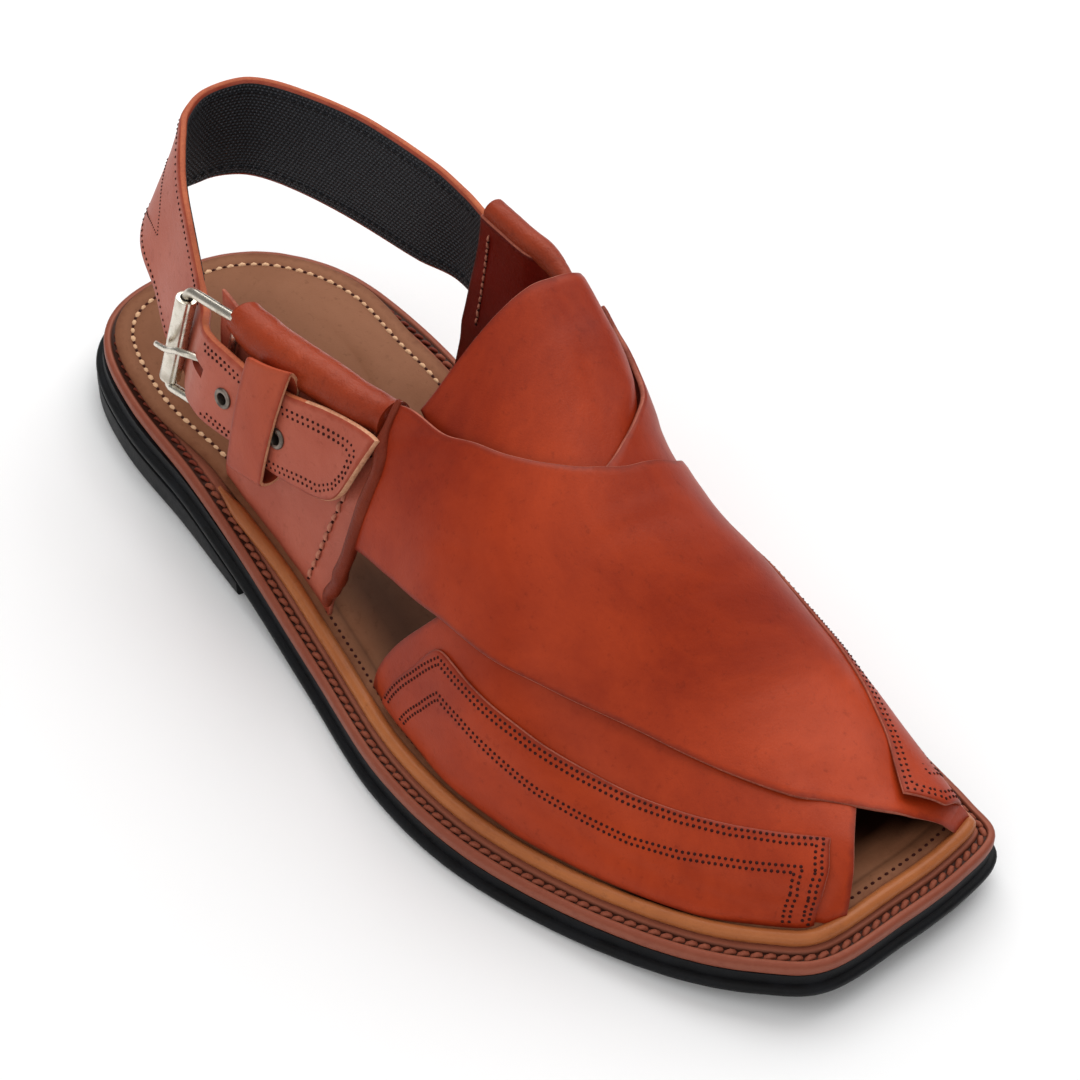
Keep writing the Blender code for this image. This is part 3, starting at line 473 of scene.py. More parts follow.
def webbing_weave():
    """Ribs across a woven tape and rows of yarn along it, from stored mm."""
    tree, given, result = new_group("webbing_weave", {"Rib": 1.2}, ("Height", "Shade"))
    along = add(tree, "Attribute", attribute_name="along_mm").outputs["Fac"]
    across = add(tree, "Attribute", attribute_name="across_mm").outputs["Fac"]
    place = add(tree, "TexCoord").outputs["Object"]
    turn = maths(tree, "DIVIDE", maths(tree, "MULTIPLY", along, math.tau), given.outputs["Rib"])
    weft = maths(tree, "MULTIPLY", across, math.tau / 2.0)
    skip = maths(tree, "MULTIPLY", maths(tree, "SIGN", maths(tree, "SINE", weft)), math.pi / 2)
    rib = maths(tree, "SINE", maths(tree, "ADD", turn, skip))
    yarn = maths(tree, "ABSOLUTE", maths(tree, "SINE", weft))
    height = maths(tree, "MULTIPLY", maths(tree, "ADD", rib, 1.2), yarn)
    fuzz = add(tree, "TexNoise", {"Vector": place, "Scale": 2400.0, "Detail": 3.0}).outputs[0]
    height = maths(tree, "ADD", height, maths(tree, "MULTIPLY", fuzz, 0.8))
    tree.links.new(height, result.inputs["Height"])
    # painted highlight and painted shade: the colour share follows the height, light on the yarn
    # tops and dark between them
    tree.links.new(stretch(tree, height, 0.2, 2.4), result.inputs["Shade"])
    return tree


def metal_wear():
    """Fine rubbing lines and dull spots on plated wire."""
    tree, given, result = new_group("metal_wear", {"Lines": 1.0}, ("Height", "Dull"))
    place = add(tree, "TexCoord").outputs["Object"]
    sheen = add(tree, "Mapping", {"Vector": place, "Scale": (900.0, 900.0, 60.0)}).outputs[0]
    lines = add(tree, "TexNoise", {"Vector": sheen, "Scale": 1.0, "Detail": 4.0}).outputs[0]
    tree.links.new(maths(tree, "MULTIPLY", lines, given.outputs["Lines"]), result.inputs["Height"])
    spots = add(tree, "TexNoise", {"Vector": place, "Scale": 300.0, "Detail": 5.0}).outputs[0]
    tree.links.new(stretch(tree, spots, 0.45, 0.7), result.inputs["Dull"])
    return tree


def dust_and_grit():
    """Speckle and a little pale dust on moulded rubber and on thread."""
    tree, given, result = new_group("dust_and_grit", {"Size": 1.0}, ("Height", "Dust"))
    place = add(tree, "TexCoord").outputs["Object"]
    grit = add(tree, "TexNoise", {"Vector": place, "Scale": 1500.0, "Detail": 4.0}).outputs[0]
    tree.links.new(maths(tree, "MULTIPLY", grit, given.outputs["Size"]), result.inputs["Height"])
    dust = add(tree, "TexNoise", {"Vector": place, "Scale": 90.0, "Detail": 6.0,
                                  "Roughness": 0.7}).outputs[0]
    tree.links.new(stretch(tree, dust, 0.42, 0.75), result.inputs["Dust"])
    return tree


HIDE, WEAR, WEAVE, METAL, GRIT = (
    hide_grain(), edge_wear(), webbing_weave(), metal_wear(), dust_and_grit())
print("groups:", [g.name for g in (HIDE, WEAR, WEAVE, METAL, GRIT)])


# %% Leathers
def emboss(tree, shader, height, strength, deep_mm):
    """Give a material relief from a height."""
    bump = add(tree, "Bump", {"Strength": strength, "Distance": deep_mm * MM, "Height": height})
    tree.links.new(bump.outputs[0], shader.inputs["Normal"])


def leather(name, light, dark, burnished, gloss, wrinkles, relief, wax=0.06):
    """Dyed leather: cloudy colour, marks, burnished edge, painted shade, wrinkles, relief in mm.
    """
    made, tree, shader = new_material(name)
    grain = use_group(tree, HIDE, {"Wrinkles": wrinkles})
    wear = use_group(tree, WEAR)
    # painted shade: a number stored on the mesh turns the colour nearly black where the shoe
    # shades itself
    painted_shade = add(tree, "Attribute", attribute_name="painted_shade").outputs["Fac"]
    colour = blend(tree, grain.outputs["Clouds"], dark, light)
    speck = maths(tree, "MULTIPLY", grain.outputs["Marks"], 0.5)
    colour = blend(tree, speck, colour, tuple(c * 0.55 for c in dark))
    colour = blend(tree, maths(tree, "MULTIPLY", wear.outputs["Burnish"], 0.75), colour, burnished)
    painted_shade_colour = tuple(c * share for c, share in zip(dark, (0.06, 0.03, 0.02)))
    colour = blend(tree, painted_shade, colour, painted_shade_colour)
    tree.links.new(colour, shader.inputs["Base Color"])
    shine = stretch(tree, grain.outputs["Clouds"], 0.0, 1.0, gloss + 0.07, gloss - 0.03)
    shine = maths(tree, "ADD", shine, maths(tree, "MULTIPLY", grain.outputs["Marks"], 0.12))
    tree.links.new(shine, shader.inputs["Roughness"])
    emboss(tree, shader, grain.outputs["Height"], 0.55, relief)
    shader.inputs["Coat Weight"].default_value = wax
    shader.inputs["Coat Roughness"].default_value = 0.32
    shader.inputs["Specular Tint"].default_value = (1.0, 0.62, 0.48, 1.0)
    shader.inputs["Specular IOR Level"].default_value = 0.24
    made.diffuse_color = (*light, 1.0)
    return made


def raw_edge(name, light, dark):
    """Cut edge of leather: open fibres, no wax."""
    made, tree, shader = new_material(name)
    place = add(tree, "TexCoord").outputs["Object"]
    fibre = add(tree, "TexNoise", {"Vector": place, "Scale": 1400.0, "Detail": 5.0,
                                   "Roughness": 0.7}).outputs[0]
    patch = add(tree, "TexNoise", {"Vector": place, "Scale": 130.0, "Detail": 4.0}).outputs[0]
    share = maths(tree, "MULTIPLY", maths(tree, "ADD", fibre, patch), 0.5)
    share = stretch(tree, share, 0.36, 0.62)
    tree.links.new(blend(tree, share, dark, light), shader.inputs["Base Color"])
    emboss(tree, shader, fibre, 0.7, 0.2)
    shader.inputs["Roughness"].default_value = 0.72
    return made


COGNAC = leather("cognac_leather", (0.42, 0.043, 0.008), (0.215, 0.014, 0.003),
                 (0.16, 0.014, 0.006), gloss=0.44, wrinkles=0.35, relief=0.10)
# The pale pink of this leather is partly its own colour and partly painted sheen, the soft light
# that the outer side catches; every piece made of it carries that sheen.
STRAP = leather("strap_leather_and_sheen", (0.50, 0.130, 0.080), (0.37, 0.074, 0.044),
                (0.26, 0.034, 0.016), gloss=0.42, wrinkles=0.5, relief=0.13)
INSIDE = leather("inside_leather", (0.21, 0.006, 0.002), (0.11, 0.003, 0.001),
                 (0.06, 0.004, 0.003), gloss=0.5, wrinkles=0.7, relief=0.14, wax=0.05)
RIB = leather("rib_leather", (0.24, 0.036, 0.013), (0.12, 0.012, 0.005),
              (0.09, 0.010, 0.004), gloss=0.42, wrinkles=1.0, relief=0.2)
ROLLED = leather("rolled_leather", (0.35, 0.050, 0.016), (0.19, 0.018, 0.006),
                 (0.15, 0.014, 0.006), gloss=0.36, wrinkles=1.0, relief=0.2)
WELT = leather("welt_leather", (0.34, 0.108, 0.062), (0.26, 0.070, 0.040),
               (0.22, 0.050, 0.028), gloss=0.5, wrinkles=0.4, relief=0.12, wax=0.08)
FOOTBED = leather("footbed_leather", (0.27, 0.112, 0.056), (0.18, 0.066, 0.030),
                  (0.13, 0.040, 0.018), gloss=0.58, wrinkles=0.25, relief=0.08, wax=0.0)
PIPING = leather("piping_leather", (0.46, 0.15, 0.045), (0.28, 0.075, 0.022),
                 (0.28, 0.075, 0.022), gloss=0.4, wrinkles=0.5, relief=0.12, wax=0.2)
PINK_EDGE = raw_edge("cut_edge", (0.42, 0.11, 0.06), (0.20, 0.032, 0.014))
CREAM_EDGE = raw_edge("pale_cut_edge", (0.68, 0.36, 0.20), (0.40, 0.12, 0.055))
TAN_EDGE = raw_edge("tan_strap_edge", (0.52, 0.13, 0.045), (0.34, 0.06, 0.022))
print("leathers:", COGNAC.name, STRAP.name, WELT.name, FOOTBED.name)


# %% Thread, webbing, metal and rubber
def thread(name, light, dark, roughness=0.6):
    made, tree, shader = new_material(name)
    grit = use_group(tree, GRIT)
    colour = blend(tree, grit.outputs["Height"], dark, light)
    tree.links.new(colour, shader.inputs["Base Color"])
    emboss(tree, shader, grit.outputs["Height"], 0.6, 0.12)
    shader.inputs["Roughness"].default_value = roughness
    shader.inputs["Specular IOR Level"].default_value = 0.12
    return made


def plated(name, light, dull, roughness):
    made, tree, shader = new_material(name)
    wear = use_group(tree, METAL)
    tree.links.new(blend(tree, wear.outputs["Dull"], light, dull), shader.inputs["Base Color"])
    tree.links.new(stretch(tree, wear.outputs["Dull"], 0.0, 1.0, roughness, roughness + 0.16),
                   shader.inputs["Roughness"])
    emboss(tree, shader, wear.outputs["Height"], 0.25, 0.05)
    shader.inputs["Metallic"].default_value = 1.0
    return made


def moulded_rubber(name, light, dark):
    made, tree, shader = new_material(name)
    grit = use_group(tree, GRIT)
    tree.links.new(blend(tree, grit.outputs["Dust"], dark, light), shader.inputs["Base Color"])
    tree.links.new(stretch(tree, grit.outputs["Dust"], 0.0, 1.0, 0.5, 0.68),
                   shader.inputs["Roughness"])
    emboss(tree, shader, grit.outputs["Height"], 0.5, 0.2)
    shader.inputs["Specular IOR Level"].default_value = 0.2
    return made


def woven_tape(name):
    made, tree, shader = new_material(name)
    weave = use_group(tree, WEAVE)
    # The weave's Shade output lightens the yarn tops and darkens the gaps: painted highlight and
    # painted shade.
    colour = blend(tree, weave.outputs["Shade"], (0.0006, 0.0007, 0.001), (0.085, 0.090, 0.105))
    tree.links.new(colour, shader.inputs["Base Color"])
    emboss(tree, shader, weave.outputs["Height"], 0.9, 0.5)
    shader.inputs["Roughness"].default_value = 0.55
    shader.inputs["Specular IOR Level"].default_value = 0.3
    return made


CREAM_THREAD = thread("cream_thread", (0.88, 0.58, 0.36), (0.62, 0.33, 0.17))
ROSE_THREAD = thread("rose_thread", (0.62, 0.26, 0.17), (0.36, 0.11, 0.07))
WELT_THREAD = thread("welt_thread", (0.36, 0.110, 0.062), (0.17, 0.036, 0.020))
RED_THREAD = thread("red_thread", (0.24, 0.050, 0.028), (0.11, 0.016, 0.009))
KEEPER = leather("keeper_leather", (0.46, 0.082, 0.034), (0.31, 0.042, 0.018),
                 (0.24, 0.028, 0.012), gloss=0.42, wrinkles=0.35, relief=0.10)
# Dark thread; the same material also makes dark capsules that are painted shade for stitch holes.
DARK_THREAD_AND_HOLE_SHADE = thread("dark_thread_and_hole_shade", (0.060, 0.010, 0.007), (0.018, 0.003, 0.002))
BLACK_THREAD = thread("black_thread", (0.022, 0.022, 0.026), (0.004, 0.004, 0.005), 0.45)
NICKEL = plated("nickel", (0.72, 0.67, 0.58), (0.50, 0.45, 0.37), 0.24)
DARK_METAL = plated("dark_metal", (0.24, 0.20, 0.17), (0.11, 0.09, 0.075), 0.36)
RUBBER = moulded_rubber("black_rubber", (0.009, 0.010, 0.013), (0.0015, 0.0015, 0.002))
WEBBING = woven_tape("black_webbing")
print("materials in all:", len(bpy.data.materials))

# %% [markdown]
# ## Tools for making pieces
# Each piece is built from rings or grids of points. A leather sheet is a grid
# for its face and one for its flesh side, closed by a cut edge that bulges a
# little, as a knife leaves it. Along the way the mesh stores how far each
# point is from the cut edge, because the materials want to know. Threads are
# one small capsule copied many times along a line.


# %% Making a mesh and joining it to the frame
def store(mesh, label, values):
    """Keep one number per point on a mesh, for its materials to read."""
    mark = mesh.attributes.new(label, "FLOAT", "POINT")
    mark.data.foreach_set("value", np.asarray(values, np.float32).ravel())


def piece(name, points, faces, materials, which=None, marks=None, slot=None,
          replaces=None, crease=48):
    """Mesh object from points in mm, with one number per point for each mark."""
    mesh = bpy.data.meshes.new(name)
    mesh.from_pydata(metres(points).tolist(), [], faces)
    for mat in materials:
        mesh.materials.append(mat)
    if which is not None:
        mesh.polygons.foreach_set("material_index", np.asarray(which, np.int32))
    for label, values in (marks or {}).items():
        store(mesh, label, values)
    bm = bmesh.new()
    bm.from_mesh(mesh)
    bmesh.ops.recalc_face_normals(bm, faces=bm.faces)
    bm.to_mesh(mesh)
    bm.free()
    mesh.shade_smooth()
    mesh.set_sharp_from_angle(angle=math.radians(crease))
    made = bpy.data.objects.new(name, mesh)
    scene.collection.objects.link(made)
    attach(made, "root")
    if replaces:
        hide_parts(*replaces)
    print("%-24s %6d faces" % (name, len(mesh.polygons)))
    return made


def wobble(points, sizes, seed=0):
    """Sum of slanting waves: soft hand-made unevenness, about -1 to 1."""
    p, total = np.asarray(points, float), 0.0
    for k, size in enumerate(sizes):
        a = 1.7 * (k + 1) + seed
        way = unit(np.array([math.cos(a), math.sin(a * 1.3), math.cos(a * 0.7 + 1)]))
        total = total + np.sin(p @ way * (math.tau / size) + 5.1 * k + seed)
    return total / len(sizes)


def flat_lengths(grid, axis):
    """Distance along each line of a grid, starting at zero."""
    step = np.linalg.norm(np.diff(grid, axis=axis), axis=-1)
    zero = np.zeros_like(np.take(step, [0], axis=axis))
    return np.concatenate([zero, np.cumsum(step, axis=axis)], axis=axis)


# %% Leather sheets
ROUNDING, SWELL = 0.16, 0.13     # of a cut edge, as shares of the thickness


def sheet(name, face, flesh, face_mat, edge_mat, flesh_mat=None, end_edge=None,
          end_from=2.0, **rest):
    """Closed leather sheet between two grids, with a rounded cut edge.

    end_edge is another edge material for the part beyond the share end_from.
    """
    m, n = face.shape[:2]
    a, c = flat_lengths(face, 0), flat_lengths(face, 1)
    near = np.minimum(np.minimum(a, a[-1:] - a), np.minimum(c, c[:, -1:] - c))
    thick = np.linalg.norm(face - flesh, axis=-1, keepdims=True)
    print("%-22s flat %3.0f x %3.0f mm, %.1f thick" % (name, a[-1].mean(), c[:, -1].mean(),
                                                       thick.mean()))
    inward = unit(flesh - face)
    rim = ([(0, j) for j in range(n)] + [(i, n - 1) for i in range(1, m)]
           + [(m - 1, j) for j in range(n - 2, -1, -1)] + [(i, 0) for i in range(m - 2, 0, -1)])
    ri, rj = (np.array(v) for v in zip(*rim))
    top, low = face.copy(), flesh.copy()
    top[ri, rj] += (inward * thick * ROUNDING)[ri, rj]
    low[ri, rj] -= (inward * thick * ROUNDING)[ri, rj]
    # the way out of the sheet at each rim point
    out = np.zeros_like(face)
    out[0] += unit(face[0] - face[1])
    out[-1] += unit(face[-1] - face[-2])
    out[:, 0] += unit(face[:, 0] - face[:, 1])
    out[:, -1] += unit(face[:, -1] - face[:, -2])
    out = unit(out)[ri, rj]
    swell = (thick * SWELL)[ri, rj]
    upper_rim = face[ri, rj] + (inward * thick * 0.36)[ri, rj] + out * swell
    lower_rim = face[ri, rj] + (inward * thick * 0.64)[ri, rj] + out * swell
    k, r = m * n, len(rim)
    points = np.vstack([top.reshape(-1, 3), low.reshape(-1, 3), upper_rim, lower_rim])
    faces, which = [], []
    for i in range(m - 1):
        for j in range(n - 1):
            q = i * n + j
            quad = (q, q + 1, q + n + 1, q + n)
            faces += [quad, tuple(k + v for v in reversed(quad))]
            which += [0, 2]
    line = ri * n + rj
    for i in range(r):
        j = (i + 1) % r
        rings = [(line[i], line[j]), (2 * k + i, 2 * k + j),
                 (2 * k + r + i, 2 * k + r + j), (k + line[i], k + line[j])]
        for (p, q), (s, t) in zip(rings, rings[1:]):
            faces.append((int(p), int(q), int(t), int(s)))
            which.append(3 if ri[i] > end_from * m else 1)
    marks = {"edge_mm": np.concatenate([near.ravel(), near.ravel(), np.zeros(2 * r)]),
             "painted_shade": np.zeros(len(points))}
    mats = [face_mat, edge_mat, flesh_mat or face_mat, end_edge or edge_mat]
    return piece(name, points, faces, mats, which, marks, **rest)


def loft(name, rings, material, marks=None, **rest):
    """Closed rings of equal size joined one after another, with filled ends."""
    rings = np.asarray(rings, float)
    m, n = rings.shape[:2]
    faces = [(i * n + j, i * n + (j + 1) % n, (i + 1) * n + (j + 1) % n, (i + 1) * n + j)
             for i in range(m - 1) for j in range(n)]
    ends = np.vstack([rings[0].mean(axis=0), rings[-1].mean(axis=0)])
    for j in range(n):
        k = (j + 1) % n
        faces.append((m * n, k, j))
        faces.append((m * n + 1, (m - 1) * n + j, (m - 1) * n + k))
    if marks:
        marks = {key: np.concatenate([np.asarray(v).ravel(), [0.0, 0.0]])
                 for key, v in marks.items()}
    return piece(name, np.vstack([rings.reshape(-1, 3), ends]), faces, [material], None,
                 marks, **rest)


# %% Tubes: cords, rolled edges, wire
def wrapped(name, rings, materials, which=None, marks=None, **rest):
    """Piece of rings joined one after another, where the last meets the first."""
    rings = np.asarray(rings, float)
    m, n = rings.shape[:2]
    faces = [(i * n + j, i * n + (j + 1) % n, (i + 1) % m * n + (j + 1) % n, (i + 1) % m * n + j)
             for i in range(m) for j in range(n)]
    return piece(name, rings.reshape(-1, 3), faces, materials, which, marks, **rest)


def frames_along(path, closed=False):
    """Tangent and two steady cross directions at each point of a path."""
    p = np.asarray(path, float)
    if closed:
        t = unit(np.roll(p, -1, 0) - np.roll(p, 1, 0))
    else:
        t = unit(np.gradient(p, axis=0))
    a = np.empty_like(t)
    start = np.cross(t[0], (0.0, 0.0, 1.0))
    a[0] = unit(start if np.linalg.norm(start) > 0.1 else np.cross(t[0], (1.0, 0.0, 0.0)))
    for i in range(1, len(p)):
        a[i] = unit(a[i - 1] - t[i] * (a[i - 1] @ t[i]))
    if closed:      # share out the twist that is left over
        b = np.cross(t, a)
        last_a = unit(a[-1] - t[0] * (a[-1] @ t[0]))
        twist = math.atan2(last_a @ b[0], last_a @ a[0])
        turn = -twist * np.arange(len(p)) / len(p)
        a = a * np.cos(turn)[:, None] + b * np.sin(turn)[:, None]
    return t, a, np.cross(t, a)


def tube_rings(path, radius, sides, closed):
    """Circles of points round a path."""
    p = np.asarray(path, float)
    r = np.broadcast_to(np.asarray(radius, float), len(p))[:, None, None]
    _, a, b = frames_along(p, closed)
    w = np.arange(sides) * math.tau / sides
    return p[:, None] + r * (a[:, None] * np.cos(w)[None, :, None]
                             + b[:, None] * np.sin(w)[None, :, None])


def tube(name, path, radius, material, sides, closed=False, wrinkle=0.0, seed=0, **rest):
    """Round cord along a path; its ends close in a dome."""
    p = np.asarray(path, float)
    r = np.broadcast_to(np.asarray(radius, float), len(p)).copy()
    print("%-22s cord %3.0f mm long, %.1f thick"
          % (name, np.linalg.norm(np.diff(p, axis=0), axis=1).sum(), 2 * r.mean()))
    if not closed:
        t = unit(np.gradient(p, axis=0))
        a = np.linspace(0, math.pi / 2, 5)[:-1]
        head = [p[0] + t[0] * r[0] * (1 - math.sin(w)) for w in a]
        tail = [p[-1] - t[-1] * r[-1] * (1 - math.sin(w)) for w in a[::-1]]
        keep = [i for i in range(1, len(p) - 1)
                if (p[i] - head[-1]) @ t[0] > 0.05 and (tail[0] - p[i]) @ t[-1] > 0.05]
        rr = np.concatenate([[max(r[0] * math.sin(w), 0.02) for w in a], r[keep],
                             [max(r[-1] * math.sin(w), 0.02) for w in a[::-1]]])
        p, r = np.vstack([head, p[keep], tail]), rr
    rings = tube_rings(p, r, sides, closed)
    if wrinkle:
        out = unit(rings - p[:, None])
        rings = rings + out * (wrinkle * wobble(rings, (7.0, 3.1, 4.7, 2.2), seed))[..., None]
    marks = {"edge_mm": np.full(rings.shape[:2], 9.0), "painted_shade": np.zeros(rings.shape[:2])}
    if not closed:
        return loft(name, rings, material, marks=marks, **rest)
    return wrapped(name, rings, [material], None, marks, **rest)


# %% Stitches
def stitches(name, centres, along, normal, length, radius, material, slant=0.0,
             plump=1.0, sink=0.35, **rest):
    """One small capsule per centre; its ends dive into the leather."""
    s = np.array([-0.5, -0.36, 0.0, 0.36, 0.5])
    thick = np.array([0.25, 0.86, 1.0, 0.86, 0.25])
    rise = np.array([-1.0, -0.2, 0.35, -0.2, -1.0])
    w = np.arange(6) * math.tau / 6
    c, t, n = (np.asarray(v, float) for v in (centres, along, normal))
    n = unit(n)
    t = unit(t - n * np.sum(t * n, axis=-1, keepdims=True))
    b = np.cross(n, t)
    slant = np.radians(np.broadcast_to(slant, len(c)))[:, None]
    t, b = t * np.cos(slant) + b * np.sin(slant), b * np.cos(slant) - t * np.sin(slant)
    length = np.broadcast_to(length, len(c))[:, None]
    rad = np.broadcast_to(radius, len(c))[:, None, None, None]
    spine = (c[:, None] + t[:, None] * (s * length)[..., None]
             + n[:, None] * (rad[:, 0] * (rise - sink)[None, :, None]))
    ring_ = (b[:, None, None] * (np.cos(w) * plump)[None, None, :, None]
             + n[:, None, None] * np.sin(w)[None, None, :, None])
    pts = spine[:, :, None] + ring_ * rad * thick[None, :, None, None]
    k, m, q = len(c), len(s), len(w)
    faces = []
    for i in range(k):
        o = i * m * q
        for u in range(m - 1):
            for v in range(q):
                x = (v + 1) % q
                faces.append((o + u * q + v, o + u * q + x, o + (u + 1) * q + x,
                              o + (u + 1) * q + v))
        faces.append(tuple(o + v for v in reversed(range(q))))
        faces.append(tuple(o + (m - 1) * q + v for v in range(q)))
    return piece(name, pts.reshape(-1, 3), faces, [material], crease=80, **rest)


def paced(path, pitch, closed=False):
    """Points at an even pitch along a path, and the direction there."""
    line = np.vstack([path, path[:1]]) if closed else np.asarray(path, float)
    s = travelled(line)
    count = max(int(round(s[-1] / pitch)), 1)
    spots = (np.arange(count) + (0.5 if closed else 0.0)) * s[-1] / count
    here, ahead, behind = (read_at(spots + step, s, line) for step in (0.0, 0.3, -0.3))
    return here, unit(ahead - behind)


SEAM_STITCH, SEAM_SINK = 1.25, 0.62


def sew(name, line, normals, start, spare, pitch, length, radius, mat, **rest):
    """Sunk stitches at an even pitch along a line; spare mm at its end stay free."""
    s = travelled(line)
    spots = np.arange(start, s[-1] - spare, pitch)
    here, ahead = read_at(spots, s, line), read_at(spots + 0.4, s, line)
    stitches(name, here, ahead - here, read_at(spots, s, normals), length, radius, mat,
             sink=SEAM_SINK, **rest)


def upright(centres):
    """Straight up, once for each centre."""
    return np.tile((0.0, 0.0, 1.0), (len(centres), 1))


print("tools ready")

# %% [markdown]
# ## Rubber sole and heel
# The outsole is moulded black rubber, a shade wider than the leather it
# carries. Its side is not flat: a rounded lower band sticks out and the part
# above is set back. Stacking inset copies of the outline at rising heights
# gives exactly that profile. The heel block under it is a second moulding
# with a straight front, and a fine joint shows between them.

# %% Rubber sole
def stacked(levels):
    """Rings of the sole outline from (height function, inset fore, rear, heel)."""
    out = []
    for height, *inset in levels:
        xy = ring(*inset)
        out.append(np.column_stack([xy, height(EDGE[:, 0])]))
    return np.array(out)


def at(base):
    return lambda x: lift(x) + base


def ring_marks(levels, column):
    """One column of a table of levels, repeated for every point of its ring."""
    return np.repeat(np.array([float(row[column]) for row in levels]), RING)


def rubber(height, grow):
    """One level of the rubber, which stands out from the welt by grow."""
    return (at(height), *(g - grow for g in RUBBER_GROWTH))


RUBBER_LEVELS = (
    # height, how far it stands out
    (0.6, -14.0), (0.3, -8.0), (0.0, -3.0), (0.0, -0.3), (0.25, 0.75), (0.8, 1.25),
    (1.9, 1.35), (2.5, 1.05), (2.8, 0.35), (3.0, -0.5), (RUBBER_T, -0.75),
    (RUBBER_T + 0.02, -2.0), (RUBBER_T, -9.0),
)
body = stacked([rubber(*row) for row in RUBBER_LEVELS])
band = slice(4, 8)      # the levels of the rounded band
body[band, :, 2] += 0.06 * wobble(body[band], (23.0, 9.0, 41.0, 5.0), 3)
loft("rubber_sole", body, RUBBER, slot="black_rubber", replaces=("outsole",))

# %% Heel block
BREAST_X, HEEL_MIDDLE, BOTTOM_SHRINK = 97.0, (54.0, 3.0), 0.02
FLAT_BELOW, JOINT = 1.3, 0.28
HEEL_LEVELS = (
    # height, how far it stands out
    (0.5, -14.0), (0.0, -4.0), (0.0, -0.5), (0.35, 0.55), (1.2, 1.0),
    (3.0, 1.1), (7.6, 1.3), (8.4, 1.15), (8.68, 0.6), (8.72, -1.0),
)


def clipped(loop):
    """Part of the outline behind the heel's front, closed by a straight line."""
    shifted = np.roll(loop, -int(np.argmax(loop[:, 0])), axis=0)
    open_line = resample(shifted[shifted[:, 0] < BREAST_X], 150)
    open_line[0, 0] = open_line[-1, 0] = BREAST_X
    front = np.linspace(open_line[-1], open_line[0], 40)[1:-1]
    return np.vstack([open_line, front])


blocks = []
for height, grow in HEEL_LEVELS:
    loop = clipped(ring(*(g - grow for g in RUBBER_GROWTH)))
    if grow < -1.5:
        loop = loop + (np.array(HEEL_MIDDLE) - loop) * BOTTOM_SHRINK
        loop[:, 0] = np.minimum(loop[:, 0], BREAST_X + grow * 0.2)
    z = np.full(len(loop), height)
    if height > FLAT_BELOW:     # the upper levels follow the sole above them
        z = height / HEEL_LIFT * (lift(loop[:, 0]) - JOINT)
    blocks.append(np.column_stack([loop, z]))
loft("heel_block", blocks, RUBBER, slot="black_rubber", replaces=("heel",))

# %% [markdown]
# ## Welt with its chain of stitches
# The reddish leather layer on the rubber is the welt. A groove is cut near
# its rim and a heavy thread runs round in it like a chain. The groove is part
# of the outline rings; the thread is a row of slanted, overlapping capsules,
# so each link catches the light on its own.

# %% Welt
CHAIN_PITCH = 3.2
THREAD_CHANGE_X = 75.0     # finer, darker thread behind it


def groove(x):
    """Depth of the stitch groove: deep at the forefoot, shallow at the heel."""
    return mix(0.45, 0.95, smooth((x - 60.0) / 60.0))


def in_groove(x):
    return lift(x) + WELT_TOP - groove(x)


WELT_LEVELS = (
    # height function, inset, mm from a worn edge, painted shade (deepest in the stitch groove)
    (at(WELT_LOW), 6.0, 0, 0), (at(WELT_LOW), 2.0, 0, 0), (at(WELT_LOW + 0.1), 0.9, 0, 0),
    (at(WELT_LOW + 0.6), 0.35, .3, 0), (at(WELT_LOW + 1.6), 0.05, .6, 0),
    (at(WELT_LOW + 3.0), 0.05, .6, 0), (at(WELT_TOP - 0.45), 0.25, 0, 0),
    (at(WELT_TOP - 0.12), 0.7, 0, 0), (at(WELT_TOP), 1.2, .4, 0), (at(WELT_TOP), 1.65, 1.2, 0),
    (at(WELT_TOP - 0.15), 1.9, 2, .35), (in_groove, 2.25, 3, .95), (in_groove, 4.15, 3, .95),
    (at(WELT_TOP - 0.2), 4.5, 3, .3), (at(WELT_TOP), 4.8, 3, 0), (at(WELT_TOP), 7.5, 3, 0),
    (at(WELT_TOP), 12.0, 3, 0),
)
body = stacked([row[:2] for row in WELT_LEVELS])
rim = slice(3, 9)       # the levels of the outer rim
body[rim, :, 2] += 0.09 * wobble(body[rim], (31.0, 13.0, 7.0, 19.0), 1)
# painted shade: the stored mask darkens the welt in its stitch groove
loft("welt", body, WELT, slot="welt_leather", replaces=("midsole",),
     marks={"edge_mm": ring_marks(WELT_LEVELS, 2), "painted_shade": ring_marks(WELT_LEVELS, 3)})

line = ring(3.15, 3.5, 3.7)
chain = np.column_stack([line, in_groove(EDGE[:, 0]) + 0.45])
centres, ahead = paced(chain, CHAIN_PITCH, closed=True)
flat_up = upright(centres)
fore = centres[:, 0] > THREAD_CHANGE_X
stitches("welt_chain_front", centres[fore], ahead[fore], flat_up[fore], 3.5, 0.72,
         WELT_THREAD, slant=22.0, plump=1.15)
stitches("welt_chain_rear", centres[~fore], ahead[~fore], flat_up[~fore], 3.1, 0.50,
         RED_THREAD, slant=22.0, plump=1.1)

# %% [markdown]
# ## Footbed and its running stitch
# The footbed lies inside the welt's rim. Round the heel it is skived thin and
# sewn down with a cream running stitch. The thread goes in and out, so what
# shows is a row of short light stitches with dark gaps in a shallow groove;
# the gaps are small dark capsules, painted shade for the stitch holes. A number
# stored on the mesh is painted shade as well: it darkens the leather under the
# straps, in the toe and in the stitch grooves, where the shoe shades itself; it
# belongs to the place, not to the viewpoint.

# %% Footbed
def bed(above):
    """Height function: so far above the footbed's face."""
    return lambda x: footbed_z(x) + above


FOOTBED_INSET = (9.35, 7.15, 4.1)


def bed_ring(extra):
    return tuple(v + extra for v in FOOTBED_INSET)


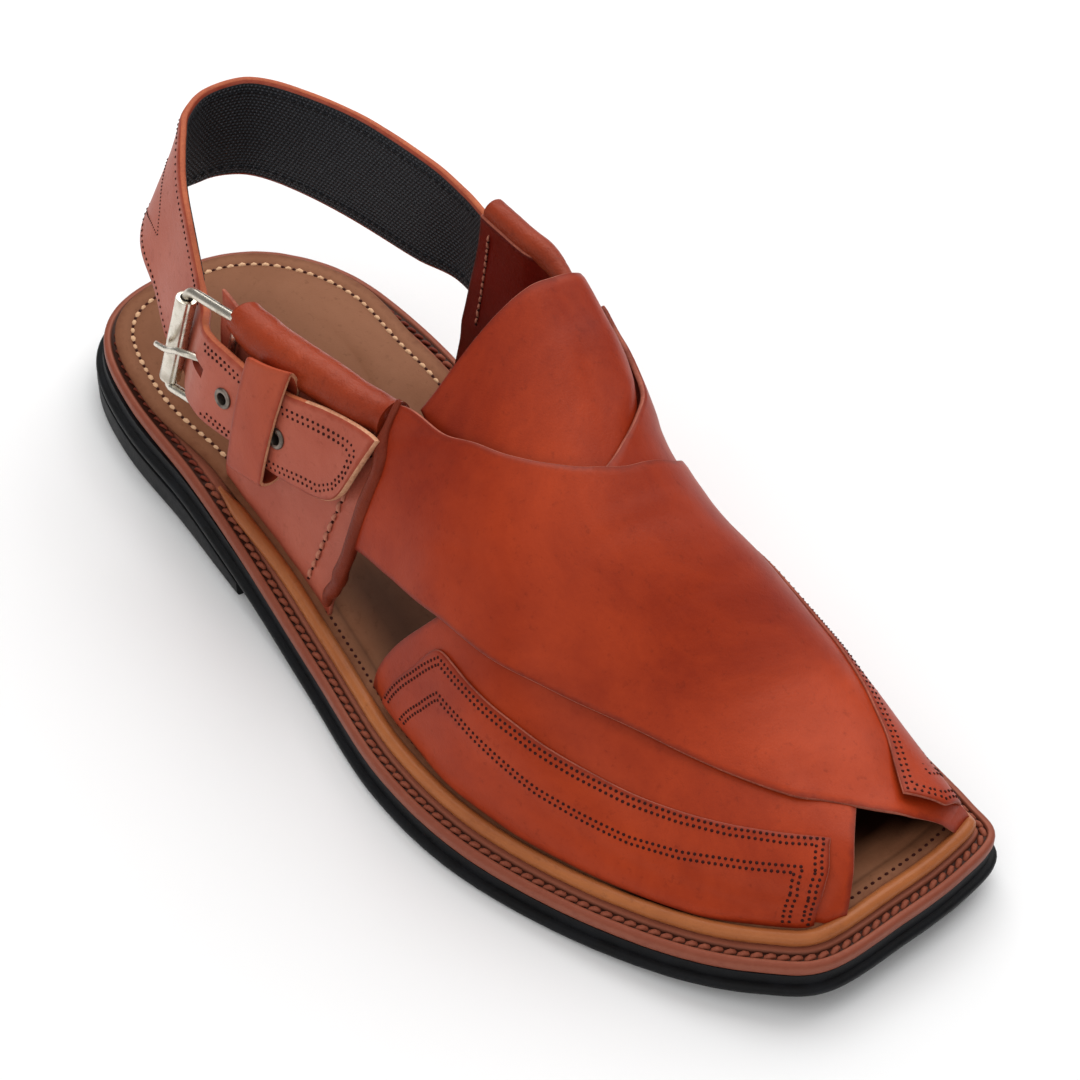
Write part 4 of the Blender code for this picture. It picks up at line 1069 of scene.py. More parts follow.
SHADE_UNDER_STRAPS, RUNNING_PITCH, TOE_PITCH = 0.76, 3.3, 2.3
BED_LEVELS = (
    # height function, inset, how hollow, mm from a worn edge, painted shade at the rim and in the
    # stitch groove
    (at(FOOTBED_LOW), 3.0, 0, 0, 0), (at(FOOTBED_LOW + 0.02), 0.3, 0, 0, 0),
    (bed(-0.95), -0.8, 0, 0, .2), (bed(-0.35), -0.8, .2, .2, .1), (bed(-0.05), -0.3, .5, .6, 0),
    (bed(0.0), 2.2, .8, 2, 0), (bed(-0.12), 3.4, 1, 3, .1), (bed(-0.30), 4.1, 1, 4, .4),
    (bed(-0.12), 4.8, 1, 5, .1), (bed(0.0), 6.0, 1, 6, 0), (bed(0.0), 9.0, 1.2, 7, 0),
    (bed(0.0), 13.0, 1.5, 8, 0), (bed(0.0), 17.0, 1.8, 9, 0),
)
body = stacked([(height, *bed_ring(inset)) for height, inset, *_ in BED_LEVELS])
hollow = np.array([row[2] for row in BED_LEVELS])[:, None]
body[..., 2] += 0.04 * hollow * wobble(body, (37.0, 55.0, 21.0), 2)
x, y = body[..., 0].ravel(), body[..., 1].ravel()
# painted shade: the footbed turns dark under the straps and in the toe opening, where the upper
# shades it
inside = smooth((ring_marks(BED_LEVELS, 1) - 4.0) / 11.0)
under_straps = inside * smooth((x - 104.0) / 25.0) * smooth((246.0 - x) / 12.0)
toe_line_x = 270.0 + 0.33 * (y + 12.0)
in_toe = smooth((x - 234.0) / 14.0) * smooth((toe_line_x - x) / 6.0)
painted_shade = np.maximum(ring_marks(BED_LEVELS, 4), SHADE_UNDER_STRAPS * under_straps)
loft("footbed", body, FOOTBED, slot="footbed_leather", replaces=("insole",),
     marks={"edge_mm": ring_marks(BED_LEVELS, 3), "painted_shade": np.maximum(painted_shade, in_toe)})

line = ring(*bed_ring(4.1))
heel_line = np.column_stack([line, footbed_z(EDGE[:, 0]) - 0.22])
fore = EDGE[:, 0] > np.where(EDGE[:, 1] > 0, 92.0, 78.0)
places = np.where(fore)[0]
order = np.roll(np.arange(RING), -int(places[len(places) // 2]))
centres, ahead = paced(heel_line[order[~fore[order]]], RUNNING_PITCH)
flat_up = upright(centres)
uneven = 1 + 0.12 * np.sin(np.arange(len(centres)) * 2.3)
stitches("footbed_stitches", centres, ahead, flat_up, 2.45 * uneven, 0.62 * uneven,
         CREAM_THREAD, slant=8.0, plump=1.15)
# Dark capsules between the stitches are painted shade for the stitch holes.
stitches("footbed_stitch_hole_shade", centres + ahead * 1.65, ahead, flat_up, 1.5, 0.55,
         DARK_THREAD_AND_HOLE_SHADE, sink=0.6)

toe_line = np.column_stack([ring(*bed_ring(1.2)), footbed_z(EDGE[:, 0]) + 0.02])
centres, ahead = paced(toe_line[EDGE[:, 0] > 124.0], TOE_PITCH)
stitches("footbed_toe_seam", centres, ahead, upright(centres), 1.4, 0.42, DARK_THREAD_AND_HOLE_SHADE, sink=0.4)

# %% [markdown]
# ## Piping
# A tan cord of leather is sewn in where the straps meet the welt. It runs
# from the outer waist round the toe to the inner waist. A tube along the
# inset outline does it; its radius swells and shrinks a little, and fades
# at both ends where the cord is tucked away.

# %% Piping cord
PIPING_R, PIPING_RISE = 1.95, 1.75
line = ring(7.0, 4.7)
pipe = np.column_stack([line, lift(EDGE[:, 0]) + WELT_TOP + GAP + PIPING_RISE])
order = np.roll(np.arange(RING), -int(np.argmin(EDGE[:, 0])))
pipe = pipe[order]
pipe = pipe[pipe[:, 0] > np.where(pipe[:, 1] < 0, 78.0, 93.0)]
pipe = resample(pipe, 420)
s = travelled(pipe)
radius = PIPING_R * (1 + 0.03 * wobble(pipe, (11.0, 6.1, 3.7), 4))
radius = radius * mix(0.35, 1.0, smooth(s / 11.0)) * mix(0.5, 1.0, smooth((s[-1] - s) / 8.0))
tube("piping_cord", pipe, radius, PIPING, sides=14, slot="piping_leather",
     replaces=("piping",))

# %% [markdown]
# ## The two straps over the forefoot
# Each vamp strap is one patch of leather that runs from the welt on one side,
# over the foot, to the welt on the other. A table of fold lines says where
# its rear and front edges are; the sheet is ruled between them and lies on
# the last. The outer strap lies on top. The inner strap is level with it at
# its rear and slips under it at the crossing. Over the toe the leather stands
# off the last, so each front edge is pulled through a few points of its own.

# %% Straps on the last
OUTER_STRAP = (
    # rear t, rear x, front t, front x
    (0.195, 129.5, 0.057, 134.1), (0.235, 145.0, 0.091, 154.6),
    (0.290, 156.0, 0.139, 174.4), (0.345, 165.0, 0.190, 193.9),
    (0.410, 173.0, 0.234, 209.4), (0.490, 179.5, 0.287, 226.2),
    (0.580, 183.0, 0.347, 247.5), (0.680, 183.2, 0.400, 260.5),
    (0.775, 180.0, 0.467, 272.5), (0.860, 174.0, 0.560, 280.0),
    (0.930, 166.0, 0.720, 283.6), (0.975, 159.0, 0.890, 284.4),
    (1.000, 155.0, 1.000, 284.3),
)
INNER_STRAP = (
    # rear t, rear x, front t, front x
    (0.730, 141.7, 0.925, 130.5), (0.742, 149.0, 0.905, 153.0),
    (0.740, 157.5, 0.861, 174.4), (0.705, 166.0, 0.810, 194.0),
    (0.650, 172.0, 0.766, 209.4), (0.590, 177.0, 0.713, 226.2),
    (0.533, 180.5, 0.653, 249.0), (0.440, 183.0, 0.600, 260.5),
    (0.340, 183.0, 0.533, 269.0), (0.250, 180.5, 0.440, 276.0),
    (0.170, 175.5, 0.330, 281.5), (0.100, 168.2, 0.170, 283.6),
    (0.040, 159.4, 0.060, 284.0), (0.000, 153.4, 0.000, 283.8),
)
STRAP_FOOT, FOLD_RAMP, UNDER_TOP = 1.2, 16.0, 1.4
OUTER_STRAP_T, INNER_STRAP_T = 1.5, 1.9
_rear = np.array(OUTER_STRAP)
outer_rear_x = curve(_rear[:, 0], _rear[:, 1])


def outer_depth(x, t):
    """Depth of the outer strap; it draws in at its inner foot."""
    return STRAP_FOOT * smooth((t - 0.94) / 0.06) + 0 * x


def inner_depth(x, t):
    """Depth of the inner strap: level behind the crossing, then under the outer one."""
    behind = smooth((outer_rear_x(t) - 4.0 - x) / FOLD_RAMP) * smooth((t - 0.5) / 0.1)
    foot = smooth((0.06 - t) / 0.06)
    spread_foot = 0.9 * foot * smooth((x - 175.0) / 20.0) * smooth((274.0 - x) / 14.0)
    return UNDER_TOP * (1 - behind) * (1 - 0.5 * foot) - spread_foot


def strap_places(table, along, across):
    """x and t of every point of a strap ruled between its two edges."""
    rows, v = read_table(table, spread(along, 0.012)), spread(across, 0.02)
    return ruled(rows[:, 1:2], rows[:, 3:4], v), ruled(rows[:, :1], rows[:, 2:3], v)


def eased_front(grid, targets):
    """Pull the front edge through a few points; the pull fades out behind it.

    targets holds (share along the strap, x, y, z) from the first moved point on.
    """
    u = spread(grid.shape[0], 0.012)
    still = targets[0][0] - 0.09        # up to here the edge keeps its place
    start = read_at(still, u, grid[:, -1])
    keys = np.array([(still, *start)] + list(targets))
    wanted = np.stack([curve(keys[:, 0], keys[:, k])(u) for k in (1, 2, 3)], -1)
    pull = (wanted - grid[:, -1]) * smooth((u - still) / 0.05)[:, None]
    fade = smooth((spread(grid.shape[1], 0.02) - 0.80) / 0.20)
    return grid + pull[:, None] * fade[None, :, None]


# share along the strap, x, y, z
OUTER_STRAP_FRONT = ((8 / 12, 271.2, 3.6, 36.4), (9 / 12, 277.9, 10.4, 34.8),
                     (10 / 12, 282.0, 17.0, 30.5), (11 / 12, 284.7, 22.6, 26.2),
                     (11.6 / 12, 286.0, 26.2, 21.6), (1.0, 285.4, 29.2, 18.4))
INNER_STRAP_FRONT = ((9.4 / 13, 278.0, -2.4, 34.2), (10.3 / 13, 283.4, -7.4, 30.0),
                     (11.2 / 13, 285.9, -10.2, 25.0), (12.2 / 13, 287.0, -11.7, 21.5),
                     (1.0, 287.4, -12.2, 19.2))

print("edges of the straps:", len(OUTER_STRAP), "and", len(INNER_STRAP), "fold lines")

# %% Creases, listed one by one
TROUGH_HALF, BANK_AT, BANK_HALF, BANK_SHARE = 2.1, 4.4, 2.6, 0.55
CREASES = (
    # middle x, t, length across, slant, depth of the trough
    (150.0, 0.285, 20.0, 58.0, 0.10), (158.0, 0.335, 24.0, 60.0, 0.08),
    (139.0, 0.190, 17.0, 50.0, 0.16), (166.0, 0.200, 26.0, 38.0, 0.08),
    (196.0, 0.520, 30.0, 78.0, 0.06), (190.0, 0.640, 26.0, 85.0, 0.06),
    (214.0, 0.560, 36.0, 74.0, 0.05), (180.0, 0.860, 26.0, 96.0, 0.14),
    (172.0, 0.780, 22.0, 104.0, 0.12), (240.0, 0.560, 30.0, 70.0, 0.04),
)


def creased(x, t, depth):
    """Depth with soft troughs and ridges where the leather bends in use."""
    here = skin(x, t, 0 * x)
    for cx, ct, length, slant, deep in CREASES:
        mid = skin(np.array(cx), np.array(ct), np.array(0.0))
        way_x = unit(skin(np.array(cx + 1), np.array(ct), np.array(0.0)) - mid)
        way_t = unit(skin(np.array(cx), np.array(ct + 0.004), np.array(0.0)) - mid)
        a = math.radians(slant)
        along = way_t * math.sin(a) + way_x * math.cos(a)
        across = way_x * math.sin(a) - way_t * math.cos(a)
        u, v = (here - mid) @ along, (here - mid) @ across
        v = v + 1.6 * np.sin(u / length * 3.1 + cx)     # no crease runs straight
        fade = np.exp(-(u / length * 1.5) ** 2)
        banks = np.exp(-((np.abs(v) - BANK_AT) / BANK_HALF) ** 2)
        depth = depth + deep * fade * (np.exp(-(v / TROUGH_HALF) ** 2) - BANK_SHARE * banks)
    return depth


def gentle(x, t, amount, seed):
    """Quiet waves of hand lasted leather."""
    return amount * wobble(skin(x, t, 0 * x), (34.0, 26.0, 19.5, 47.0), seed)


# %% The two strap sheets
x, t = strap_places(INNER_STRAP, 150, 74)
under = 1 - smooth((outer_rear_x(t) - 3.0 - x) / 6.0) * smooth((t - 0.5) / 0.1)
depth = inner_depth(x, t) + 0.15 * under
depth = depth + (1 - under) * np.clip(creased(x, t, 0 * x), -0.5, 0.8)
depth = depth + gentle(x, t, 0.08, 1) * (1 - 0.5 * under)
over_tongue = 0.6 * smooth((t - 0.66) / 0.06) * smooth((176.0 - x) / 16.0)
face = eased_front(skin(x, t, depth - over_tongue), INNER_STRAP_FRONT)
flesh = face + (skin(x, t, depth + INNER_STRAP_T) - skin(x, t, depth))
sheet("inner_vamp_strap", face, flesh, COGNAC, PINK_EDGE, INSIDE, slot="cognac_leather",
      replaces=("upper",))

x, t = strap_places(OUTER_STRAP, 150, 80)
depth = outer_depth(x, t) + np.clip(creased(x, t, 0 * x), -0.5, 0.35) + gentle(x, t, 0.09, 2)
from_edge = np.minimum(np.linspace(0, 1, 80), np.linspace(1, 0, 80))[None] * 60
depth = np.minimum(depth, 0.35)
depth = mix(outer_depth(x, t), depth, smooth(from_edge / 7))     # the edges stay calm
face = eased_front(skin(x, t, depth), OUTER_STRAP_FRONT)
flesh = face + (skin(x, t, outer_depth(x, t) + OUTER_STRAP_T) - skin(x, t, depth))
sheet("outer_vamp_strap", face, flesh, COGNAC, PINK_EDGE, INSIDE, slot="cognac_leather")

# %% [markdown]
# ## Folded rim of the outer strap
# At the outer ankle the rear edge of the strap is turned over into a thick,
# wrinkled rib. It is a short cord laid along the edge, thinner at its ends,
# with its radius disturbed so that it looks gathered by hand.

# %% Rib on the outer strap
RIB_R = 2.05
rib_x, rib_t = path_through(
    [(128.4, .004), (133.2, .050), (133.3, .112), (129.9, .166), (129.2, .200)], 60).T
rib = skin(rib_x, rib_t, 0.3 + 0 * rib_x)
taper = mix(0.75, 1.0, smooth(np.linspace(0, 4, 60)))
taper = taper * mix(0.5, 1.0, smooth(np.linspace(5, 0, 60)))
tube("folded_rib", rib, RIB_R * taper, RIB, sides=14, wrinkle=0.30, seed=2,
     slot="cognac_leather")

# %% [markdown]
# ## Stitched panels at the two sides of the toe
# A second layer of leather is sewn on at each side of the forefoot. Its seam
# follows the panel's edge in two double rows. Each row is a line of small dark
# capsules sunk in the leather: painted shade for the stitch holes.


# %% Seams at a set distance from an edge
SEAM_START, WALK_STEPS = 0.6, 8


def walk(x, t, way, distance):
    """Move over the foot shape in a fixed direction and stay on its surface."""
    for _ in range(WALK_STEPS):
        ex = last(x + 0.5, t) - last(x - 0.5, t)
        et = (last(x, t + 0.001) - last(x, t - 0.001)) / 0.002
        n = unit(np.cross(et, ex))
        flat = unit(way - n * np.sum(way * n, axis=-1, keepdims=True)) * distance / WALK_STEPS
        a, b, c = (np.sum(p * q, axis=-1) for p, q in ((ex, ex), (ex, et), (et, et)))
        p, q = np.sum(flat * ex, axis=-1), np.sum(flat * et, axis=-1)
        det = a * c - b * b
        x, t = x + (c * p - b * q) / det, t + (a * q - b * p) / det
        t = np.clip(t, 0.002, 0.998)
    return x, t


def seam_rows(edge_xt, depth, offsets, pitch, name, mat, inside):
    """Rows of sunk stitches at set distances from an edge on the last; here they are dark
    capsules, painted shade for the stitch holes.
    """
    keys = resample(np.array(edge_xt, float) * (1, 300), 700) / (1, 300)
    x, t = keys.T
    edge = skin(x, t, 0 * x)
    into = unit(np.cross(last_normal(x, t), unit(np.gradient(edge, axis=0)))) * inside
    for row, offset in enumerate(offsets):
        mx, mt = walk(x, t, into, offset)
        flat = skin(mx, mt, 0 * mx)
        good = np.linalg.norm(edge[None, ::3] - flat[:, None], axis=2).min(axis=1) > offset - 0.1
        good &= (mt > 0.004) & (mt < 0.996)
        place, normals = skin(mx, mt, depth(mx, mt))[good], last_normal(mx, mt)[good]
        sew("%s_%d" % (name, row + 1), place, normals, SEAM_START + (row % 2) * pitch / 2,
            SEAM_START, pitch, SEAM_STITCH, 0.56, mat, plump=0.95)


# %% Panels on the straps, as (x, t) along their edges and seams
OUTER_PANEL = ((160.9, .002), (169.9, .055), (177.6, .110), (190.2, .126), (202.3, .137),
               (212.8, .149), (223.8, .167), (235.6, .190), (246.7, .221), (257.0, .263),
               (267.6, .324), (274.6, .372))
OUTER_FRONT = ((274.6, .372), (280.4, .261), (282.9, .140), (283.4, .050), (283.3, .002))
OUTER_SEAM = ((162.6, .006), (170.6, .052), (178.0, .104), (190.2, .119), (202.3, .129),
              (212.8, .141), (223.8, .158), (235.6, .181), (246.7, .211), (257.0, .252),
              (267.6, .312), (273.9, .360), (279.5, .253), (282.0, .135), (282.6, .050),
              (282.5, .006))
OUTER_SEAM_IN = ((170.2, .006), (176.2, .036), (181.3, .070), (190.6, .077), (205.8, .077),
                 (216.7, .080), (228.0, .090), (240.6, .106), (251.9, .137), (264.6, .195),
                 (275.3, .253), (278.4, .139), (279.3, .006))
INNER_PANEL = ((178.0, .998), (184.0, .90), (193.0, .861), (216.0, .835), (234.0, .808),
               (244.3, .782), (252.1, .751), (260.7, .717), (268.6, .669), (276.3, .620))
INNER_FRONT = ((276.3, .620), (280.7, .691), (283.0, .750), (282.5, .899), (281.4, .998))


def panel_grid(upper, front, foot_t):
    """x and t of a panel between its upper edge, its front edge and the foot line."""
    nu, nv = 130, 30
    up_ = path_through(np.array(upper, float) * (1, 300), nu) / (1, 300)
    fr = path_through(np.array(front, float)[::-1] * (1, 300), nv) / (1, 300)
    u = spread(nu, 0.006)[:, None]
    v = spread(nv, 0.02)[None, :]
    i = u[:, 0] * (nu - 1)
    top = read_at(i, np.arange(nu), up_)
    j = v[0] * (nv - 1)
    side_ = read_at(j, np.arange(nv), fr)
    foot = np.stack([mix(top[0, 0], side_[0, 0], u[:, 0]), np.full(nu, foot_t)], -1)
    a = ruled(foot[:, None], top[:, None], v[..., None])
    pull = side_ - ruled(foot[-1], top[-1], v[0][:, None])
    grid = a + pull[None] * smooth((u[..., None] - 0.75) / 0.25)
    return grid[..., 0], np.clip(grid[..., 1], 0.001, 0.999)


def on_outer_panel(x, t):
    """Depth of the outer panel's face; it lies on the inner strap."""
    return inner_depth(x, t) - 0.95 + gentle(x, t, 0.05, 5)


def on_inner_panel(x, t):
    """Depth of the inner panel's face; it lies on the outer strap."""
    return outer_depth(x, t) - 0.85 + gentle(x, t, 0.05, 6)


for side_name, grid, on_panel, strap_depth in (
        ("outer", panel_grid(OUTER_PANEL, OUTER_FRONT, 0.002), on_outer_panel, inner_depth),
        ("inner", panel_grid(INNER_PANEL, INNER_FRONT, 0.998), on_inner_panel, outer_depth)):
    sheet(side_name + "_toe_panel", skin(*grid, on_panel(*grid)),
          skin(*grid, strap_depth(*grid) + 0.2), COGNAC, PINK_EDGE, slot="cognac_leather")

seam_rows(OUTER_SEAM, on_outer_panel, (0.0, 1.6), 1.5, "outer_panel_seam", DARK_THREAD_AND_HOLE_SHADE, -1.0)
seam_rows(OUTER_SEAM_IN, on_outer_panel, (0.0, 1.6), 1.5, "outer_panel_inner_seam",
          DARK_THREAD_AND_HOLE_SHADE, -1.0)
seam_rows(INNER_PANEL + INNER_FRONT[1:], on_inner_panel, (1.3, 2.9, 8.6, 10.2), 1.85,
          "inner_panel_seam", DARK_THREAD_AND_HOLE_SHADE, 1.0)

# %% [markdown]
# ## Tongue
# Under the crossing lies a rounded instep piece. Its rear edge is cut raw and
# shows its pale thickness. It is one more sheet, a little deeper in the last.
# Towards the inner strap it comes out, so that no gap opens between the two.

# %% Tongue leather
TONGUE_DEPTH, TONGUE_RISE, TONGUE_T = 4.3, 3.3, 1.7
TONGUE = (
    # t, rear x, front x
    (0.205, 133.0, 152.0), (0.240, 134.3, 162.0), (0.300, 135.2, 175.0),
    (0.390, 136.2, 190.0), (0.470, 137.2, 196.0), (0.550, 138.2, 195.0),
    (0.640, 137.2, 186.0), (0.710, 134.5, 172.0), (0.775, 130.0, 152.0),
)
rows, v = read_table(TONGUE, spread(110, 0.01)), spread(60, 0.03)
x, t = ruled(rows[:, 1:2], rows[:, 2:3], v), rows[:, :1] + 0 * v
d = TONGUE_DEPTH + 0.10 * wobble(skin(x, t, 0 * x), (46.0, 31.0), 7)
strap_edge_x = np.interp(t, (0.590, 0.650, 0.705, 0.730, 0.745),
                         (177.0, 172.0, 166.0, 157.0, 143.0))
d = d - TONGUE_RISE * smooth((t - 0.55) / 0.14) * smooth((strap_edge_x + 7.0 - x) / 13.0)
sheet("tongue_leather", skin(x, t, d), skin(x, t, d + TONGUE_T), COGNAC, PINK_EDGE, INSIDE,
      slot="cognac_leather", replaces=("tongue",))

# %% [markdown]
# ## Outer quarter
# The side piece that carries the buckle stands between the footbed and the
# ankle. Its top edge is rolled over a soft core, so a thick, slightly uneven
# tube crowns the flat wall. Wall and roll are separate meshes here, as they
# are two folds of leather in the hand.

# %% Outer quarter
OUTER_QUARTER = (
    # x at the foot, x at the top, t at the top
    (77.0, 60.2, 0.131), (79.5, 65.8, 0.131), (83.5, 73.0, 0.131), (88.5, 81.0, 0.134),
    (97.0, 92.6, 0.147), (106.0, 104.4, 0.153), (113.5, 115.2, 0.157),
    (120.5, 125.5, 0.168), (128.5, 139.0, 0.187),
)
INNER_QUARTER = (
    # x at the foot, x at the top, t at the top
    (92.5, 99.3, 0.741), (101.5, 108.0, 0.740), (110.0, 118.0, 0.743),
    (120.0, 130.0, 0.748), (131.0, 147.0, 0.738),
)
QUARTER_TOP, QUARTER_T = 2.4, 1.6
POCKET_STEP, POCKET_X, POCKET_T = 1.3, 122.0, 0.96
LEAF_LENGTH, LEAF_FOOT, LEAF_T = 0.72, 0.19, 1.2     # two shares of the quarter, and mm
OUTER_ROLL_R, INNER_ROLL_R = 5.9, 3.3


def quarter_places(rows, foot_t, v):
    """x and t of a quarter, ruled from its foot at v = 0 to its top edge at v = 1."""
    return ruled(rows[:, :1], rows[:, 1:2], v), ruled(foot_t, rows[:, 2:3], v)


def top_edge(table, from_x, to_x):
    """x and t along the top edge of a quarter."""
    rows = read_table(table, np.linspace(0, 1, 400))
    rows = rows[(rows[:, 1] >= from_x) & (rows[:, 1] <= to_x)]
    return rows[:, 1], rows[:, 2]


rows = read_table(OUTER_QUARTER, spread(96, 0.012))
x, t = quarter_places(rows, 0.0, spread(34, 0.02))
near = smooth(1 - np.abs(t) / 0.016)
d = QUARTER_TOP - 1.6 * near + 0.16 * wobble(skin(x, t, 0 * x), (24.0, 13.0, 8.0), 8)
d = d + 1.2 * smooth((76.0 - x) / 8.0) * smooth((t - 0.09) / 0.03)
sheet("outer_quarter_wall", skin(x, t, d), skin(x, t, d + QUARTER_T), STRAP, PINK_EDGE,
      INSIDE, slot="quarter_leather", replaces=("outer_quarter",))

x, t = top_edge(OUTER_QUARTER, 71.0, 127.8)
near = smooth((84.0 - x) / 11.0)
core = resample(skin(x, t - 0.003 * (1 - near), 5.2 - 1.5 * near), 140)
s = np.linspace(0, 1, 140)
radius = OUTER_ROLL_R * (1 + 0.02 * wobble(core, (23.0, 11.7, 31.0), 3))
radius = radius * mix(0.88, 1.0, smooth(s * 6)) * (1 - 0.10 * np.exp(-((s - 0.93) / 0.05) ** 2))
tube("outer_rolled_edge", core, radius, ROLLED, sides=36, wrinkle=0.05, seed=5,
     slot="quarter_leather")

# %% [markdown]
# ## Inner quarter
# The inner side has the same wall and a slimmer roll. A leaf of leather lies
# over the wall and the heel strap is sewn in between them, so the strap seems
# to slide into a pocket. We look into the shoe here: the wall's inside is a
# deep red.

# %% Inner quarter
rows = read_table(INNER_QUARTER, spread(80, 0.012))
x, t = quarter_places(rows, 1.0, spread(40, 0.02))
near = smooth(1 - np.abs(t - 1.0) / 0.016)
d = QUARTER_TOP - 1.6 * near
d = d + POCKET_STEP * smooth((POCKET_X - x) / 7) * smooth((POCKET_T - t) / 0.03)
d = d + 0.14 * wobble(skin(x, t, 0 * x), (22.0, 12.0, 8.0), 9)
sheet("inner_quarter_wall", skin(x, t, d), skin(x, t, d + QUARTER_T), STRAP, PINK_EDGE,
      INSIDE, slot="quarter_leather", replaces=("inner_quarter",))

rows = read_table(INNER_QUARTER, spread(70, 0.012) * LEAF_LENGTH)
rows = rows[rows[:, 1] < POCKET_X - 1.0]
x, t = quarter_places(rows, 1.0, LEAF_FOOT + (1 - LEAF_FOOT) * spread(36, 0.02))
close = np.maximum(smooth((x - POCKET_X + 9.5) / 6), smooth((t - POCKET_T + 0.035) / 0.02))
d = -0.9 + 3.9 * close
sheet("inner_quarter_leaf", skin(x, t, d), skin(x, t, d + LEAF_T), STRAP, PINK_EDGE,
      slot="quarter_leather")

x, t = top_edge(INNER_QUARTER, 98.6, 132.0)
core = resample(skin(x, t, 1.1 + 2.4 * smooth((x - 117.0) / 15.0)), 120)
near = smooth((core[:, 0] - core[0, 0] - 18.0) / 15.0)
radius = (INNER_ROLL_R - 1.0 * near) * (1 + 0.02 * wobble(core, (19.0, 13.0), 1))
tube("inner_rolled_edge", core, radius, ROLLED, sides=28, wrinkle=0.04, seed=6,
     slot="quarter_leather")


# %% Rough hand stitches on both quarters
def hand_stitches(name, keys, depth, count, length, mat, slants, flip=1.0, radius=0.42):
    """A few uneven stitches along a line on the foot shape, with a dark capsule past each as
    painted shade for its hole.
    """
    line_ = path_through([skin(np.array(x_), np.array(t_), np.array(
        depth - 1.3 * smooth((0.02 - t_) / 0.016))) for x_, t_ in keys], 200)
    keys_ = path_through(np.array(keys, float) * (1, 300), 200) / (1, 300)
    i = np.linspace(6, 193, count).round().astype(int)
    n = last_normal(keys_[i, 0], keys_[i, 1]) * flip
    way = np.gradient(line_, axis=0)[i]
    lengths = length * (1 + 0.22 * np.sin(np.arange(count) * 2.4))
    slant = slants[0] + slants[1] * np.sin(np.arange(count) * 1.9)
    stitches(name, line_[i], way, n, lengths, radius, mat, slant=slant, sink=0.1)
    # painted shade: a dark capsule where each stitch goes into its hole
    stitches(name + "_hole_shade", line_[i] + unit(way) * (length * 0.62), way, n, 0.9, 0.40,
             DARK_THREAD_AND_HOLE_SHADE, sink=0.7)


hand_stitches("outer_quarter_stitches",
              ((123.7, .078), (122.7, .060), (121.6, .042), (119.6, .018), (118.2, .003)),
              2.0, 9, 2.9, ROSE_THREAD, (16.0, 12.0), radius=0.62)
hand_stitches("inner_quarter_stitches", ((102.6, .772), (101.6, .82), (101.0, .87), (100.6, .92)),
              5.6, 13, 2.2, ROSE_THREAD, (6.0, 8.0), flip=-1.0, radius=0.36)
hand_stitches("inner_pocket_stitches", ((101.8, .775), (101.2, .82), (100.8, .87), (100.4, .92)),
              -0.9, 13, 2.2, ROSE_THREAD, (6.0, 8.0), radius=0.36)
hand_stitches("inner_strap_end_stitches",
              ((144.5, .752), (141.5, .80), (137.6, .85), (134.6, .895), (133.6, .912)),
              -0.65, 13, 2.2, ROSE_THREAD, (6.0, 8.0), radius=0.38)
hand_stitches("strap_end_stitches", ((123.0, .105), (125.6, .120), (128.0, .140)),
              2.2, 4, 2.6, DARK_THREAD_AND_HOLE_SHADE, (-35.0, 40.0), radius=0.5)

# %% [markdown]
# ## Heel strap
# The strap is leather outside and black webbing inside. It starts in the
# inner quarter, goes round the heel, passes under the roller and over the
# bar, and ends on the outer side. The table gives its inner face section by
# section; everything else, both layers and all the seams, is measured from
# that ruled face.

# %% The strap's path
STRAP_T = 2.7
HEEL_LOOP = (
    # top x, y, z, bottom x, y, z
    (75.0, 37.6, 88.2, 74.0, 33.4, 57.0), (53.1, 36.4, 88.0, 54.3, 30.9, 57.0),
    (28.1, 30.7, 87.0, 31.0, 27.0, 56.0), (13.9, 22.6, 86.0, 15.5, 21.0, 55.0),
    (11.2, 13.0, 85.0, 10.3, 12.0, 54.5), (14.0, 5.5, 84.0, 10.0, 3.0, 55.0),
    (19.0, 0.7, 82.5, 12.5, -7.0, 54.0), (29.1, -7.3, 77.5, 17.5, -13.5, 50.0),
    (40.6, -13.9, 73.0, 28.5, -17.4, 44.0),
)
STRAP_ON_QUARTER = (
    # top x, top z, bottom x, bottom z, depth
    (112.0, 86.6, 112.0, 57.0, 3.4), (100.0, 86.8, 100.0, 57.0, 3.4),
    (88.0, 87.6, 87.0, 57.0, 3.1),
)
STRAP_END = (
    # top x, top z, bottom x, bottom z, depth
    (50.5, 66.0, 41.5, 37.0, 6.0), (54.3, 63.6, 50.0, 37.2, 5.0),
    (58.8, 62.6, 55.0, 38.2, 3.3), (63.6, 62.8, 60.5, 39.6, 0.1),
    (68.4, 63.6, 65.6, 39.9, -2.0), (73.8, 64.0, 72.4, 39.8, -2.2),
    (79.5, 63.8, 78.5, 40.2, -1.2), (86.0, 63.6, 85.5, 41.0, -0.1),
    (99.0, 65.4, 99.0, 42.9, -0.1), (112.0, 67.6, 112.0, 45.0, 0.1),
    (119.0, 68.3, 119.0, 47.0, 0.1), (124.0, 68.8, 123.0, 48.9, -0.2),
    (128.0, 69.2, 125.5, 51.0, -0.45), (131.0, 69.4, 127.2, 53.8, -0.65),
)


def _row(xt, zt, xb, zb, depth, inner):
    return np.concatenate([on_side(xt, zt, depth, inner),
                           on_side((xt + xb) / 2, (zt + zb) / 2, depth, inner),
                           on_side(xb, zb, depth, inner)])


_rows = [_row(*r, True) for r in STRAP_ON_QUARTER]
_rows += [np.concatenate([np.array(r[:3]), (np.array(r[:3]) + r[3:]) / 2, np.array(r[3:])])
          for r in HEEL_LOOP]
_rows += [_row(*r, False) for r in STRAP_END]
_rows = np.array(_rows, float)
_mid = travelled(_rows[:, 3:6])
STRAP_LENGTH = _mid[-1]
_line = [curve(_mid, _rows[:, k]) for k in range(9)]


